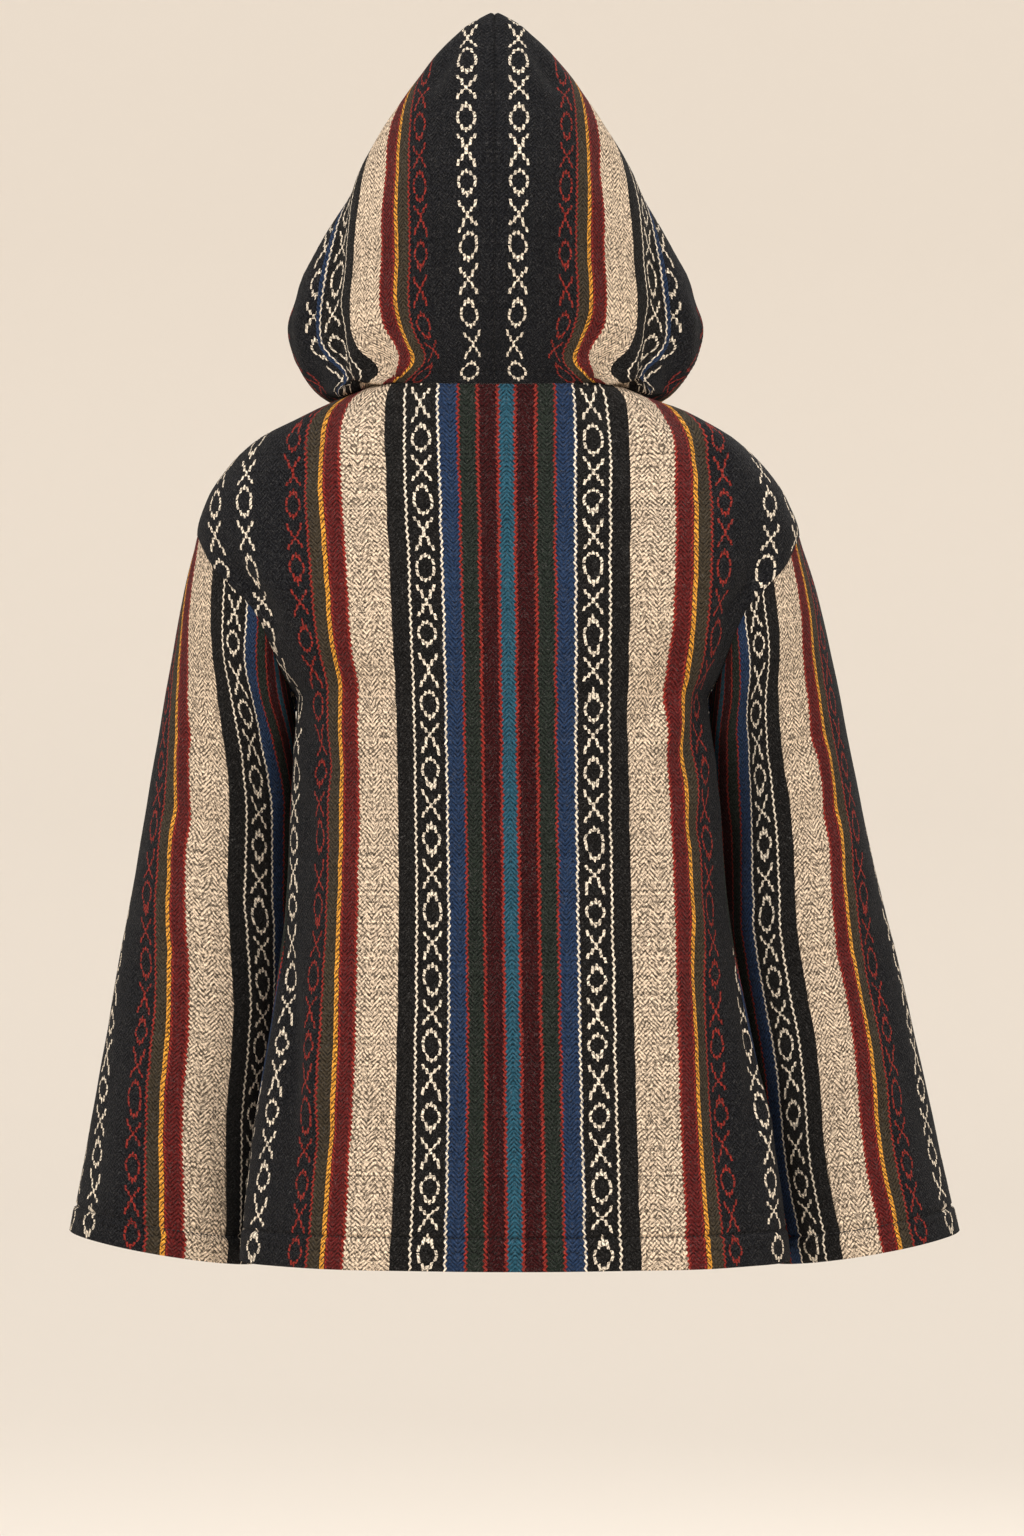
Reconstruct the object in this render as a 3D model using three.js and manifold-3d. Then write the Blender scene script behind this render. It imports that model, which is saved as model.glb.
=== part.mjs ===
// A hooded jacket of striped blanket cloth, hood up and zip closed, in the hollow form that it has when worn.
// Millimetres, +Z up. The front faces -Y, so the wearer's left is +X. The origin is the middle of the neck,
// level with the inner ends of the shoulder seams.
import * as THREE from "three";
import { mergeVertices } from "three/addons/utils/BufferGeometryUtils.js";
import Module from "manifold-3d";

const wasm = await Module();
wasm.setup();

// Driving sizes
const CLOTH = 2.6; // wall of the heavy woven cloth
const SEAM_GAP = 0.3; // between two pieces at a seam
const LEAN = 0.0237; // the garment hangs a little to one side, as its wearer stands
const LEAN_EASE = 40; // height over which the lean starts below the neck

// How the pieces are divided
const HEM_ROWS = 13; // rows from the hem to the underarm
const ARM_ROWS = 10; // rows up the armhole, and half the sleeve's sides
const SHOULDER_ROWS = 6; // rows from the armhole's top to the neck
const QUARTER_COLUMNS = 10; // columns from a centre line to a side seam
const SLEEVE_ROWS = 18;
const HOOD_ROWS = 21;
const ARC_POINTS = 48; // points that a quarter of a ring is measured with
const NORMAL_STEP = 1.5; // to each side of a point, for the normal there
const NECK_CROWD = 0.85; // under 1, the shoulder's rows crowd towards the neck
const SLEEVE_CROWD = 1.15; // over 1, the sleeve's rows crowd towards the armhole
const SLEEVE_LIFT = 0.24; // the sleeve's edge stands this far out from the body's

// Zip
const ZIP_GAP = 9; // between the two front edges
const CHAIN = { width: 5.6, thick: 2 };
const TAPE = { width: 15, thick: 0.9 };
const ZIP_ENDS = 1; // the zip stops this far short of the hem and the neck seam
const SLIDER = { width: 8, height: 12, thick: 3.4, wing: 1.4 };
const SLIDER_CLEAR = 0.5; // between the chain, which curves, and the slider
const BRIDGE = { width: 2.2, height: 7.2, depth: 3.5, bar: 1.2 };
const PULL = { width: 7, length: 27, thick: 1, bar: 1.3, windowWidth: 3.4, windowLength: 5.8, corner: 1.2 };

// A table's rows as objects, from the names of its columns.
function table(names, rows) {
  const columns = names.split(" ");
  return rows.map((row) => Object.fromEntries(columns.map((name, i) => [name, row[i]])));
}

// Rings of the body. at is the height above the hem. side, back and front give where the ring crosses the
// side seam, the centre back and the centre front. corner is how square the ring is, with 2 an ellipse.
// Beside the armhole, sideX is where the ring would be if it ran on under the sleeve.
const BODY = table("at sideZ sideX sideY backZ backY frontZ frontY corner", [
  [0, -655, 204, 26, -655, 128, -655, -136, 2.3],
  [30, -625, 201.5, 28, -625, 128, -625, -136, 2.3],
  [95, -560, 193, 33, -560, 126, -560, -134, 2.25],
  [180, -475, 178, 38, -475, 123, -475, -130, 2.15],
  [264, -391, 166, 40, -391, 121, -391, -128, 2.05],
  [340, -315, 160.5, 34, -315, 120, -315, -129, 2.1],
  [417, -238, 154, 14, -238, 121, -238, -130, 2.35],
  [437, -218, 170, 10, -218, 121, -218, -129, 2.4],
  [464, -191, 194, 7, -191, 120, -191, -126, 2.4],
  [484, -171, 208, 5, -171, 118, -173, -122, 2.4],
  [516, -139, 223, 3, -139, 114, -146, -115, 2.35],
  [540, -115, 225.5, 1, -116, 109, -128, -109, 2.3],
  [567, -88, 217, 0, -90, 102, -112, -104, 2.25],
  [590, -65, 202, 0, -68, 96, -101, -100, 2.2],
  [612, -43, 179, 1, -47, 90, -92, -97, 2.15],
  [627, -28, 150, 2, -32, 84, -86, -94, 2.1],
  [640, -15, 122, 3, -19, 78, -80, -91, 2.1],
  [653, -2, 90, 4, -6, 72, -75, -88, 2.1],
]);
const UNDERARM_AT = 417;
const ARM_TOP_AT = 540;
const NECK_AT = 653;

// The armhole seam, as the distance from the centre plane at each height above the hem.
const ARMHOLE = table("at seamX", [
  [417, 154],
  [437, 163],
  [464, 173],
  [484, 183],
  [502, 200],
  [516, 213],
  [540, 225.5],
]);

// Soft folds of the body. side is 1 on the wearer's left, and arc the distance round from the centre back.
// Each runs from low to high, and depth is how far it goes in; below 0 it stands out.
const BODY_FOLDS = table("side low high arcLow arcHigh width depth", [
  [1, -60, 400, 190, 160, 30, 9],
  [1, 60, 330, 142, 128, 30, -5],
  [1, -140, 300, 78, 92, 34, 3.5],
  [-1, -80, 380, 184, 164, 28, 8],
  [-1, 120, 360, 148, 126, 28, -4],
  [-1, -140, 240, 96, 84, 36, 3],
  [1, 380, 560, 176, 214, 22, 5],
  [-1, 390, 560, 172, 210, 22, 6],
  [1, -120, 330, 330, 318, 34, 6],
  [-1, -120, 300, 322, 312, 36, 6],
  [1, -100, 360, 400, 388, 30, 5],
  [-1, -100, 320, 408, 392, 30, 5],
]);

// Rings of the hood, from the neck seam to the peak. front is the edge of the face opening, and from the ring
// where frontX is 0 it is the seam over the head.
const HOOD = table("at sideZ sideX sideY backZ backY frontX frontY frontZ corner", [
  [0, -2, 90, 4, -6, 72, 0, -88, -75, 2.1],
  [14, -6, 108, 0, 4, 76, 18, -94, -62, 1.85],
  [28, -9, 127, -10, 15, 81, 40, -97, -45, 1.6],
  [44, 2, 142, -24, 28, 87, 70, -95, -22, 1.42],
  [62, 20, 154, -35, 45, 93, 98, -90, 4, 1.32],
  [84, 44, 159, -41, 66, 98, 118, -85, 35, 1.28],
  [110, 72, 151, -41, 92, 101, 120, -85, 68, 1.3],
  [140, 103, 135, -34, 121, 100, 108, -90, 102, 1.38],
  [172, 138, 115, -23, 152, 94, 84, -99, 134, 1.52],
  [204, 172, 96, -13, 183, 83, 46, -107, 160, 1.66],
  [230, 198, 80, -6, 207, 72, 0, -106, 182, 1.78],
  [256, 224, 61, 3, 229, 59, 0, -72, 208, 1.85],
  [280, 248, 40, 11, 250, 45, 0, -36, 236, 1.92],
  [300, 265, 21, 16, 266, 32, 0, -4, 258, 2],
  [318, 275, 3, 19, 275, 21, 0, 17, 274, 2],
]);
const FACE_HEM = TAPE.width; // the last column of the fronts and the hood alike
const NARROW_FRONT = 60; // a hood's front shorter than this has a narrower last column
const EDGE_EASE = 28; // height over which the hood's front edges part from the zip's gap

// The valley down each side of the hood, in front of which its edge flares out, and the tucks above the neck.
const HOOD_FOLDS = table("side low high arcLow arcHigh width depth", [
  [1, 8, 200, 150, 166, 15, 7],
  [-1, 8, 190, 152, 168, 15, 6],
  [1, 4, 80, 104, 84, 16, 6],
  [-1, 4, 74, 100, 80, 16, 6],
  [1, 2, 60, 134, 120, 13, -4],
  [-1, 2, 60, 130, 116, 13, -4],
]);

// Rings of the sleeve below the armhole seam: the outer end, the inner end beside the body, the middle's Y,
// and half the ring's size from front to back.
const SLEEVE = table("outerX outerZ innerX innerZ midY halfDepth", [
  [238, -158, 157, -258, -10, 67],
  [249, -208, 156, -286, -26, 70],
  [262, -272, 155, -326, -38, 73],
  [279, -358, 158, -400, -46, 74],
  [298, -450, 169, -486, -50, 75],
  [317, -545, 183, -576, -52, 76],
  [337, -640, 194, -664, -53, 78],
]);

// Soft folds of the sleeve. ring counts the rings from the armhole, and turn goes round it, with 0 the outer
// side, 0.25 the back and 0.5 the inner side.
const SLEEVE_FOLDS = table("side low high turnLow turnHigh width depth", [
  [1, 0.4, 4.6, 0.3, 0.37, 0.05, 6],
  [-1, 0.5, 4.2, 0.31, 0.38, 0.05, 7],
  [1, 2.6, 8, 0.16, 0.12, 0.06, 3],
  [-1, 2.2, 8, 0.15, 0.11, 0.06, 3],
  [1, 0.6, 5.4, 0.74, 0.8, 0.06, 6],
  [-1, 0.6, 5, 0.72, 0.79, 0.06, 6],
]);

const CLOTH_FINISH = { color: 0x2a2a2f, roughness: 0.95, metalness: 0 };
const TAPE_FINISH = { color: 0x17171a, roughness: 0.9, metalness: 0 };
const METAL_FINISH = { color: 0x8a8378, roughness: 0.4, metalness: 1 };

const mix = (a, b, share) => a + (b - a) * share;
const vector = (x, y, z) => new THREE.Vector3(x, y, z);

// A smooth value of one column of a table between its rows, which never swings past them.
function smooth(table, column, key, at) {
  const last = table.length - 1;
  const x = THREE.MathUtils.clamp(at, table[0][key], table[last][key]);
  let i = 0;
  while (i < last - 1 && x > table[i + 1][key]) i++;
  const slope = (k) => (table[k + 1][column] - table[k][column]) / (table[k + 1][key] - table[k][key]);
  const tangent = (k) => {
    if (k === 0 || k === last) return slope(k === 0 ? 0 : last - 1);
    const [before, after] = [slope(k - 1), slope(k)];
    return before * after <= 0 ? 0 : (2 * before * after) / (before + after);
  };
  const step = table[i + 1][key] - table[i][key];
  const t = (x - table[i][key]) / step;
  const [from, to] = [table[i][column], table[i + 1][column]];
  return (
    from * (1 + 2 * t) * (1 - t) ** 2 +
    to * t * t * (3 - 2 * t) +
    tangent(i) * step * t * (1 - t) ** 2 -
    tangent(i + 1) * step * t * t * (1 - t)
  );
}

// How far a fold goes in at a place: full in the middle of its run, and 0 past its ends and sides.
function foldDepth(fold, at, place, placeLow, placeHigh) {
  const run = (at - fold.low) / (fold.high - fold.low);
  if (run <= 0 || run >= 1) return 0;
  const off = (place - mix(placeLow, placeHigh, run)) / fold.width;
  return fold.depth * Math.sin(Math.PI * run) * Math.exp(-off * off);
}

// Half a ring on the wearer's left, from the centre back round the side to the front, and its length so far
// at each point. The length is that of the plain ring, before the folds.
function halfRing(rings, folds, at, side) {
  const get = (column) => smooth(rings, column, "at", at);
  const [sideX, sideY, sideZ, backY, backZ, frontY, frontZ, corner] = [
    "sideX", "sideY", "sideZ", "backY", "backZ", "frontY", "frontZ", "corner",
  ].map(get);
  const frontX = rings[0].frontX === undefined ? 0 : get("frontX");
  const power = 2 / corner;
  const points = [];
  for (let i = 0; i <= 2 * ARC_POINTS; i++) {
    const angle = (i / ARC_POINTS) * (Math.PI / 2);
    const across = Math.abs(Math.sin(angle)) ** power;
    const along = Math.abs(Math.cos(angle)) ** power;
    const turn = Math.cos(angle) ** 2;
    const back = i <= ARC_POINTS;
    points.push(
      vector(
        back ? sideX * across : mix(frontX, sideX, across),
        mix(sideY, back ? backY : frontY, along),
        mix(sideZ, back ? backZ : frontZ, turn),
      ),
    );
  }
  const lengths = [0];
  for (let i = 1; i < points.length; i++) lengths.push(lengths[i - 1] + points[i].distanceTo(points[i - 1]));
  const mine = folds.filter((fold) => fold.side === side);
  const folded = points.map((p, i) => {
    const [a, b] = [points[Math.max(i - 1, 0)], points[Math.min(i + 1, points.length - 1)]];
    const inward = vector(-(a.y - b.y), -(b.x - a.x), 0).normalize();
    const depth = mine.reduce((sum, f) => sum + foldDepth(f, at, lengths[i], f.arcLow, f.arcHigh), 0);
    return p.clone().addScaledVector(inward, depth);
  });
  return { points: folded, lengths, sideLength: lengths[ARC_POINTS], fullLength: lengths[2 * ARC_POINTS] };
}

// The point at a length along a half ring. Before its start the ring is mirrored.
function pointAt(ring, length) {
  const far = Math.min(Math.abs(length), ring.fullLength);
  let i = 1;
  while (i < ring.lengths.length - 1 && ring.lengths[i] < far) i++;
  const share = (far - ring.lengths[i - 1]) / (ring.lengths[i] - ring.lengths[i - 1]);
  const p = ring.points[i - 1].clone().lerp(ring.points[i], share);
  if (length < 0) p.x = -p.x;
  return p;
}

// The outward normal of a ringed surface at a height and a length round it.
function ringNormal(rings, folds, side, at, length) {
  const [first, last] = [rings[0].at, rings[rings.length - 1].at];
  const here = halfRing(rings, folds, at, side);
  const low = halfRing(rings, folds, Math.max(at - NORMAL_STEP, first), side);
  const high = halfRing(rings, folds, Math.min(at + NORMAL_STEP, last), side);
  const full = here.fullLength;
  const round = pointAt(here, Math.min(length + NORMAL_STEP, full)).sub(pointAt(here, length - NORMAL_STEP));
  const lowLength = (length * low.fullLength) / full;
  const highLength = (length * high.fullLength) / full;
  const up = pointAt(high, highLength).sub(pointAt(low, lowLength));
  return up.cross(round).normalize();
}

// How far round the ring the armhole seam is, at the back or at the front.
function armLength(at, side, front) {
  const ring = halfRing(BODY, BODY_FOLDS, at, side);
  if (at <= UNDERARM_AT || at >= ARM_TOP_AT) return ring.sideLength;
  const seamX = smooth(ARMHOLE, "seamX", "at", at);
  const step = front ? -1 : 1;
  let i = front ? 2 * ARC_POINTS : 0;
  while (i !== ARC_POINTS && ring.points[i + step].x < seamX) i += step;
  if (i === ARC_POINTS) return ring.sideLength;
  const share = (seamX - ring.points[i].x) / (ring.points[i + step].x - ring.points[i].x);
  return mix(ring.lengths[i], ring.lengths[i + step], share);
}

// Heights of the body's rows above the hem.
function bodyRows() {
  const rows = [];
  for (let i = 0; i < HEM_ROWS; i++) rows.push((UNDERARM_AT * i) / HEM_ROWS);
  for (let i = 0; i < ARM_ROWS; i++) {
    rows.push(mix(UNDERARM_AT, ARM_TOP_AT, (1 - Math.cos((Math.PI * i) / ARM_ROWS)) / 2));
  }
  for (let i = 0; i <= SHOULDER_ROWS; i++) {
    rows.push(mix(ARM_TOP_AT, NECK_AT, (i / SHOULDER_ROWS) ** NECK_CROWD));
  }
  return rows;
}

// The garment hangs a little to one side below the neck.
function leaned(p) {
  const low = (p.z - Math.hypot(p.z, LEAN_EASE)) / 2;
  return vector(p.x + LEAN * low, p.y, p.z);
}

// A closed wall between an outer and an inner grid of points. A tube's columns close on themselves.
function wall(outer, inner, closed = false) {
  const [rows, columns] = [outer.length, outer[0].length];
  const position = [...outer.flat(), ...inner.flat()].flatMap((p) => leaned(p).toArray());
  const index = [];
  const id = (layer, i, j) => layer * rows * columns + i * columns + (j % columns);
  const face = (a, b, c, d) => index.push(a, b, c, a, c, d);
  const spans = closed ? columns : columns - 1;
  for (let i = 0; i < rows - 1; i++) {
    for (let j = 0; j < spans; j++) {
      face(id(0, i, j), id(0, i, j + 1), id(0, i + 1, j + 1), id(0, i + 1, j));
      face(id(1, i, j), id(1, i + 1, j), id(1, i + 1, j + 1), id(1, i, j + 1));
    }
  }
  for (let j = 0; j < spans; j++) {
    face(id(0, 0, j), id(1, 0, j), id(1, 0, j + 1), id(0, 0, j + 1));
    face(id(0, rows - 1, j), id(0, rows - 1, j + 1), id(1, rows - 1, j + 1), id(1, rows - 1, j));
  }
  for (let i = 0; i < rows - 1 && !closed; i++) {
    const end = columns - 1;
    face(id(0, i, 0), id(0, i + 1, 0), id(1, i + 1, 0), id(1, i, 0));
    face(id(0, i, end), id(1, i, end), id(1, i + 1, end), id(0, i + 1, end));
  }
  const geometry = new THREE.BufferGeometry();
  geometry.setAttribute("position", new THREE.Float32BufferAttribute(position, 3));
  geometry.setIndex(facingOut(position, index));
  geometry.computeVertexNormals();
  return geometry;
}

// The triangles turned round if they enclose a negative volume.
function facingOut(position, index) {
  const at = (i) => vector(position[3 * i], position[3 * i + 1], position[3 * i + 2]);
  let volume = 0;
  for (let i = 0; i < index.length; i += 3) {
    volume += at(index[i]).dot(at(index[i + 1]).cross(at(index[i + 2])));
  }
  if (volume > 0) return index;
  return index.map((_, i) => index[i - (i % 3) + [0, 2, 1][i % 3]]);
}

const mirrored = (points, side) => points.map((row) => row.map((p) => vector(p.x * side, p.y, p.z)));

// A piece of a ringed surface: for each row, the lengths round the ring of its columns. moved is how far the
// outer face lies out from the surface, and thick is the wall.
function ringedPiece(rings, folds, side, rows, lengthsOf, moved = 0, thick = CLOTH) {
  const outer = [];
  const inner = [];
  for (const at of rows) {
    const ring = halfRing(rings, folds, at, side);
    const places = lengthsOf(at, ring);
    const normals = places.map((length) => ringNormal(rings, folds, side, at, length));
    outer.push(places.map((length, j) => pointAt(ring, length).addScaledVector(normals[j], moved)));
    inner.push(outer.at(-1).map((p, j) => p.clone().addScaledVector(normals[j], -thick)));
  }
  return { outer: mirrored(outer, side), inner: mirrored(inner, side) };
}

const spread = (from, to, count) => Array.from({ length: count + 1 }, (_, i) => mix(from, to, i / count));

// The back, one piece from side seam to side seam.
function back() {
  const rows = bodyRows();
  const half = (side) =>
    ringedPiece(BODY, BODY_FOLDS, side, rows, (at) =>
      spread(0, armLength(at, side, false) - SEAM_GAP / 2, QUARTER_COLUMNS),
    );
  const [left, right] = [half(1), half(-1)];
  const joined = (layer) => left[layer].map((row, i) => [...right[layer][i].slice(1).reverse(), ...row]);
  return wall(joined("outer"), joined("inner"));
}

// How far round the ring the front edge is, short of the centre front by half the zip's gap.
const edgeLength = (ring) => ring.fullLength - ZIP_GAP / 2;

// One front, from the side seam to its edge beside the zip.
function front(side) {
  const piece = ringedPiece(BODY, BODY_FOLDS, side, bodyRows(), (at, ring) => [
    ...spread(armLength(at, side, true) + SEAM_GAP / 2, ring.fullLength - TAPE.width, QUARTER_COLUMNS),
    edgeLength(ring),
  ]);
  return wall(piece.outer, piece.inner);
}

// One half of the hood. Past the face opening's top its front edge is the seam over the head.
function hood(side) {
  const rows = spread(0, HOOD.at(-1).at, HOOD_ROWS).map((at) => (at === 0 ? SEAM_GAP : at));
  const hemShare = (ring) => Math.min(1, (ring.fullLength - ring.sideLength) / NARROW_FRONT);
  const piece = ringedPiece(HOOD, HOOD_FOLDS, side, rows, (at, ring) => {
    const end = mix(edgeLength(ring), ring.fullLength, Math.min(at / EDGE_EASE, 1));
    return [
      ...spread(0, ring.sideLength, QUARTER_COLUMNS),
      ...spread(ring.sideLength, ring.fullLength - FACE_HEM * hemShare(ring), QUARTER_COLUMNS).slice(1),
      end,
    ];
  });
  const apart = (layer) => layer.map((row) => row.map((p) => keptFromMiddle(p, side)));
  return wall(apart(piece.outer), apart(piece.inner));
}

// A point of one half, kept on its own side of the centre seam.
function keptFromMiddle(p, side) {
  const x = side * Math.max(side * p.x, SEAM_GAP / 2);
  return vector(x, p.y, p.z);
}

// The closed armhole seam from its top down the back and up the front, with the body's normals there.
function armholeLoop(side) {
  const place = (at, isFront) => {
    const ring = halfRing(BODY, BODY_FOLDS, at, side);
    const length = armLength(at, side, isFront);
    return { p: pointAt(ring, length), n: ringNormal(BODY, BODY_FOLDS, side, at, length) };
  };
  const heights = bodyRows().filter((at) => at >= UNDERARM_AT && at <= ARM_TOP_AT);
  const down = [...heights].reverse().map((at) => place(at, false));
  const up = heights.slice(1, -1).map((at) => place(at, true));
  return [...down, ...up];
}

// The turns, from 0 to 1, of the armhole's points, with 0.5 at the underarm.
function loopTurns(loop) {
  const steps = loop.map((here, i) => here.p.distanceTo(loop[(i + 1) % loop.length].p));
  const half = (from) => steps.slice(from, from + ARM_ROWS);
  const turns = [];
  for (const [from, start] of [[0, 0], [ARM_ROWS, 0.5]]) {
    const total = half(from).reduce((a, b) => a + b);
    let sum = 0;
    for (const step of half(from)) {
      turns.push(start + (0.5 * sum) / total);
      sum += step;
    }
  }
  return turns;
}

// A point of a sleeve ring below the armhole. Round the ring, equal turns are near enough equal lengths.
function sleeveRingPoint(ring, turn) {
  const angle = 2 * Math.PI * turn;
  const middle = vector((ring.outerX + ring.innerX) / 2, ring.midY, (ring.outerZ + ring.innerZ) / 2);
  const across = vector((ring.outerX - ring.innerX) / 2, 0, (ring.outerZ - ring.innerZ) / 2);
  return middle.addScaledVector(across, Math.cos(angle)).add(vector(0, ring.halfDepth * Math.sin(angle), 0));
}

// A point of the sleeve: a smooth curve through the same turn of every ring.
function sleevePoint(rings, place) {
  const last = rings.length - 1;
  const i = Math.min(Math.floor(place), last - 1);
  const t = place - i;
  const knot = (k) => rings[THREE.MathUtils.clamp(k, 0, last)];
  const [a, b, c, d] = [knot(i - 1), knot(i), knot(i + 1), knot(i + 2)];
  const value = (k) => {
    const [before, from, to, after] = [a, b, c, d].map((p) => p.getComponent(k));
    return (
      from * (1 + 2 * t) * (1 - t) ** 2 +
      to * t * t * (3 - 2 * t) +
      ((to - before) / 2) * t * (1 - t) ** 2 -
      ((after - from) / 2) * t * t * (1 - t)
    );
  };
  return vector(value(0), value(1), value(2));
}

// One sleeve, a tube from the armhole seam to the cuff.
function sleeve(side) {
  const loop = armholeLoop(side);
  const turns = loopTurns(loop);
  const folds = SLEEVE_FOLDS.filter((fold) => fold.side === side);
  const columns = turns.map((turn, j) => [loop[j].p, ...SLEEVE.map((ring) => sleeveRingPoint(ring, turn))]);
  const rows = spread(0, 1, SLEEVE_ROWS).map((share) => SLEEVE.length * share ** SLEEVE_CROWD);
  const surface = rows.map((place) => columns.map((rings) => sleevePoint(rings, place)));
  const normals = surface.map((row, i) =>
    row.map((_, j) => {
      const round = row[(j + 1) % row.length].clone().sub(row[(j + row.length - 1) % row.length]);
      const [above, below] = [surface[Math.max(i - 1, 0)][j], surface[Math.min(i + 1, rows.length - 1)][j]];
      return below.clone().sub(above).cross(round).normalize();
    }),
  );
  const outer = surface.map((row, i) =>
    row.map((p, j) => {
      const depth = folds.reduce((sum, f) => sum + foldDepth(f, rows[i], turns[j], f.turnLow, f.turnHigh), 0);
      const moved = p.clone().addScaledVector(normals[i][j], -depth);
      if (i > 0) return moved;
      const along = surface[1][j].clone().sub(p).normalize();
      return moved.addScaledVector(along, SEAM_GAP).addScaledVector(loop[j].n, SLEEVE_LIFT);
    }),
  );
  // At the seam the sleeve's wall stands as the body's does, so that the two edges lie face to face.
  const edge = normals[0].map((n, j) => {
    const share = THREE.MathUtils.smoothstep(n.dot(loop[j].n), 0, 0.6);
    return n.clone().lerp(loop[j].n, share).normalize();
  });
  const inward = [edge, ...normals.slice(1)];
  const inner = outer.map((row, i) => row.map((p, j) => p.clone().addScaledVector(inward[i][j], -CLOTH)));
  return wall(mirrored(outer, side), mirrored(inner, side), true);
}

// Rows that the zip is made of: those of the fronts, with its own ends.
function zipRows() {
  const inside = bodyRows().filter((at) => at > ZIP_ENDS && at < NECK_AT - ZIP_ENDS);
  return [ZIP_ENDS, ...inside, NECK_AT - ZIP_ENDS];
}

// One zip tape, sewn behind a front's edge and made from the front's own surface.
function zipTape(side) {
  const piece = ringedPiece(
    BODY, BODY_FOLDS, side, zipRows(),
    (at, ring) => [ring.fullLength - TAPE.width, edgeLength(ring), ring.fullLength - SEAM_GAP / 2],
    -CLOTH - SEAM_GAP, TAPE.thick,
  );
  return wall(piece.outer, piece.inner);
}

// The closed chain of teeth, a strip that lies on the two tapes between the front edges.
function zipChain() {
  const half = (side) =>
    ringedPiece(
      BODY, [], side, zipRows(),
      (at, ring) => [ring.fullLength - CHAIN.width / 2, ring.fullLength],
      CHAIN.thick - CLOTH, CHAIN.thick,
    );
  const [left, right] = [half(1), half(-1)];
  const joined = (layer) => left[layer].map((row, i) => [row[0], row[1], right[layer][i][0]]);
  return wall(joined("outer"), joined("inner"));
}

// Where the slider sits on the chain near the neck, and how far the chain leans back there.
function sliderPlace() {
  const centre = (at) => halfRing(BODY, [], at, 1).points.at(-1);
  const at = NECK_AT - ZIP_ENDS - SLIDER.height;
  const [low, high] = [centre(at - SLIDER.height), centre(at + SLIDER.height)];
  const place = leaned(centre(at).add(vector(0, CLOTH - CHAIN.thick, 0)));
  return { place, lean: -Math.atan2(high.y - low.y, high.z - low.z) };
}

function asManifold(geometry) {
  const plain = geometry.index ? geometry.toNonIndexed() : geometry.clone();
  plain.deleteAttribute("normal");
  plain.deleteAttribute("uv");
  const merged = mergeVertices(plain, 1e-4);
  return new wasm.Manifold(
    new wasm.Mesh({
      numProp: 3,
      vertProperties: new Float32Array(merged.attributes.position.array),
      triVerts: new Uint32Array(merged.index.array),
    }),
  );
}

function asGeometry(solid) {
  const { vertProperties, triVerts } = solid.getMesh();
  const geometry = new THREE.BufferGeometry();
  geometry.setAttribute("position", new THREE.Float32BufferAttribute(vertProperties, 3));
  geometry.setIndex(new THREE.BufferAttribute(triVerts, 1));
  geometry.computeVertexNormals();
  return geometry;
}

// An outline in X and Z, thick along Y, with its front face at -Y.
function plate(shape, thick, frontY) {
  const geometry = new THREE.ExtrudeGeometry(shape, { depth: thick, bevelEnabled: false, curveSegments: 4 });
  return geometry.rotateX(Math.PI / 2).translate(0, frontY + thick, 0);
}

function roundedOutline(width, top, bottom, corner) {
  const [w, c] = [width / 2, corner];
  const shape = new THREE.Shape();
  shape.moveTo(-w + c, top);
  shape.lineTo(w - c, top);
  shape.quadraticCurveTo(w, top, w, top - c);
  shape.lineTo(w, bottom + c);
  shape.quadraticCurveTo(w, bottom, w - c, bottom);
  shape.lineTo(-w + c, bottom);
  shape.quadraticCurveTo(-w, bottom, -w, bottom + c);
  shape.lineTo(-w, top - c);
  shape.quadraticCurveTo(-w, top, -w + c, top);
  return shape;
}

// The slider's front plate with the bridge that holds the pull, in its own frame: Y 0 is the chain's side.
function slider() {
  const shape = roundedOutline(SLIDER.width, SLIDER.height / 2, -SLIDER.height / 2, SLIDER.wing);
  const body = asManifold(plate(shape, SLIDER.thick, -SLIDER.thick));
  // A box from one Y to another, in the middle of the plate.
  const box = (width, height, nearY, farY) => {
    const geometry = new THREE.BoxGeometry(width, nearY - farY, height);
    return asManifold(geometry.translate(0, (nearY + farY) / 2, 0));
  };
  const topY = -SLIDER.thick - BRIDGE.depth;
  const whole = box(BRIDGE.width, BRIDGE.height, -SLIDER.thick / 2, topY);
  const hollow = box(BRIDGE.width * 2, BRIDGE.height - 2 * BRIDGE.bar, -SLIDER.thick, topY + BRIDGE.bar);
  return asGeometry(body.add(whole.subtract(hollow)));
}

// The pull tab, in the frame of its own bar: it hangs down from the bar, which passes under the bridge.
function pull() {
  const bottom = -PULL.length + PULL.bar / 2;
  const shape = roundedOutline(PULL.width, PULL.bar / 2, bottom, PULL.corner);
  const hole = new THREE.Path();
  const [w, top] = [PULL.windowWidth / 2, -PULL.bar / 2];
  hole.moveTo(-w, top);
  hole.lineTo(-w, top - PULL.windowLength);
  hole.lineTo(w, top - PULL.windowLength);
  hole.lineTo(w, top);
  hole.closePath();
  shape.holes.push(hole);
  return plate(shape, PULL.thick, -PULL.thick / 2);
}

const root = new THREE.Group();

function add(name, geometry, finish, group = root) {
  const mesh = new THREE.Mesh(geometry, new THREE.MeshStandardMaterial(finish));
  mesh.name = name;
  group.add(mesh);
  return mesh;
}

add("back", back(), CLOTH_FINISH);
for (const [name, side] of [["left", 1], ["right", -1]]) {
  add(`front_${name}`, front(side), CLOTH_FINISH);
  add(`sleeve_${name}`, sleeve(side), CLOTH_FINISH);
  add(`hood_${name}`, hood(side), CLOTH_FINISH);
  add(`zip_tape_${name}`, zipTape(side), TAPE_FINISH);
}
add("zip_chain", zipChain(), METAL_FINISH);

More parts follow.
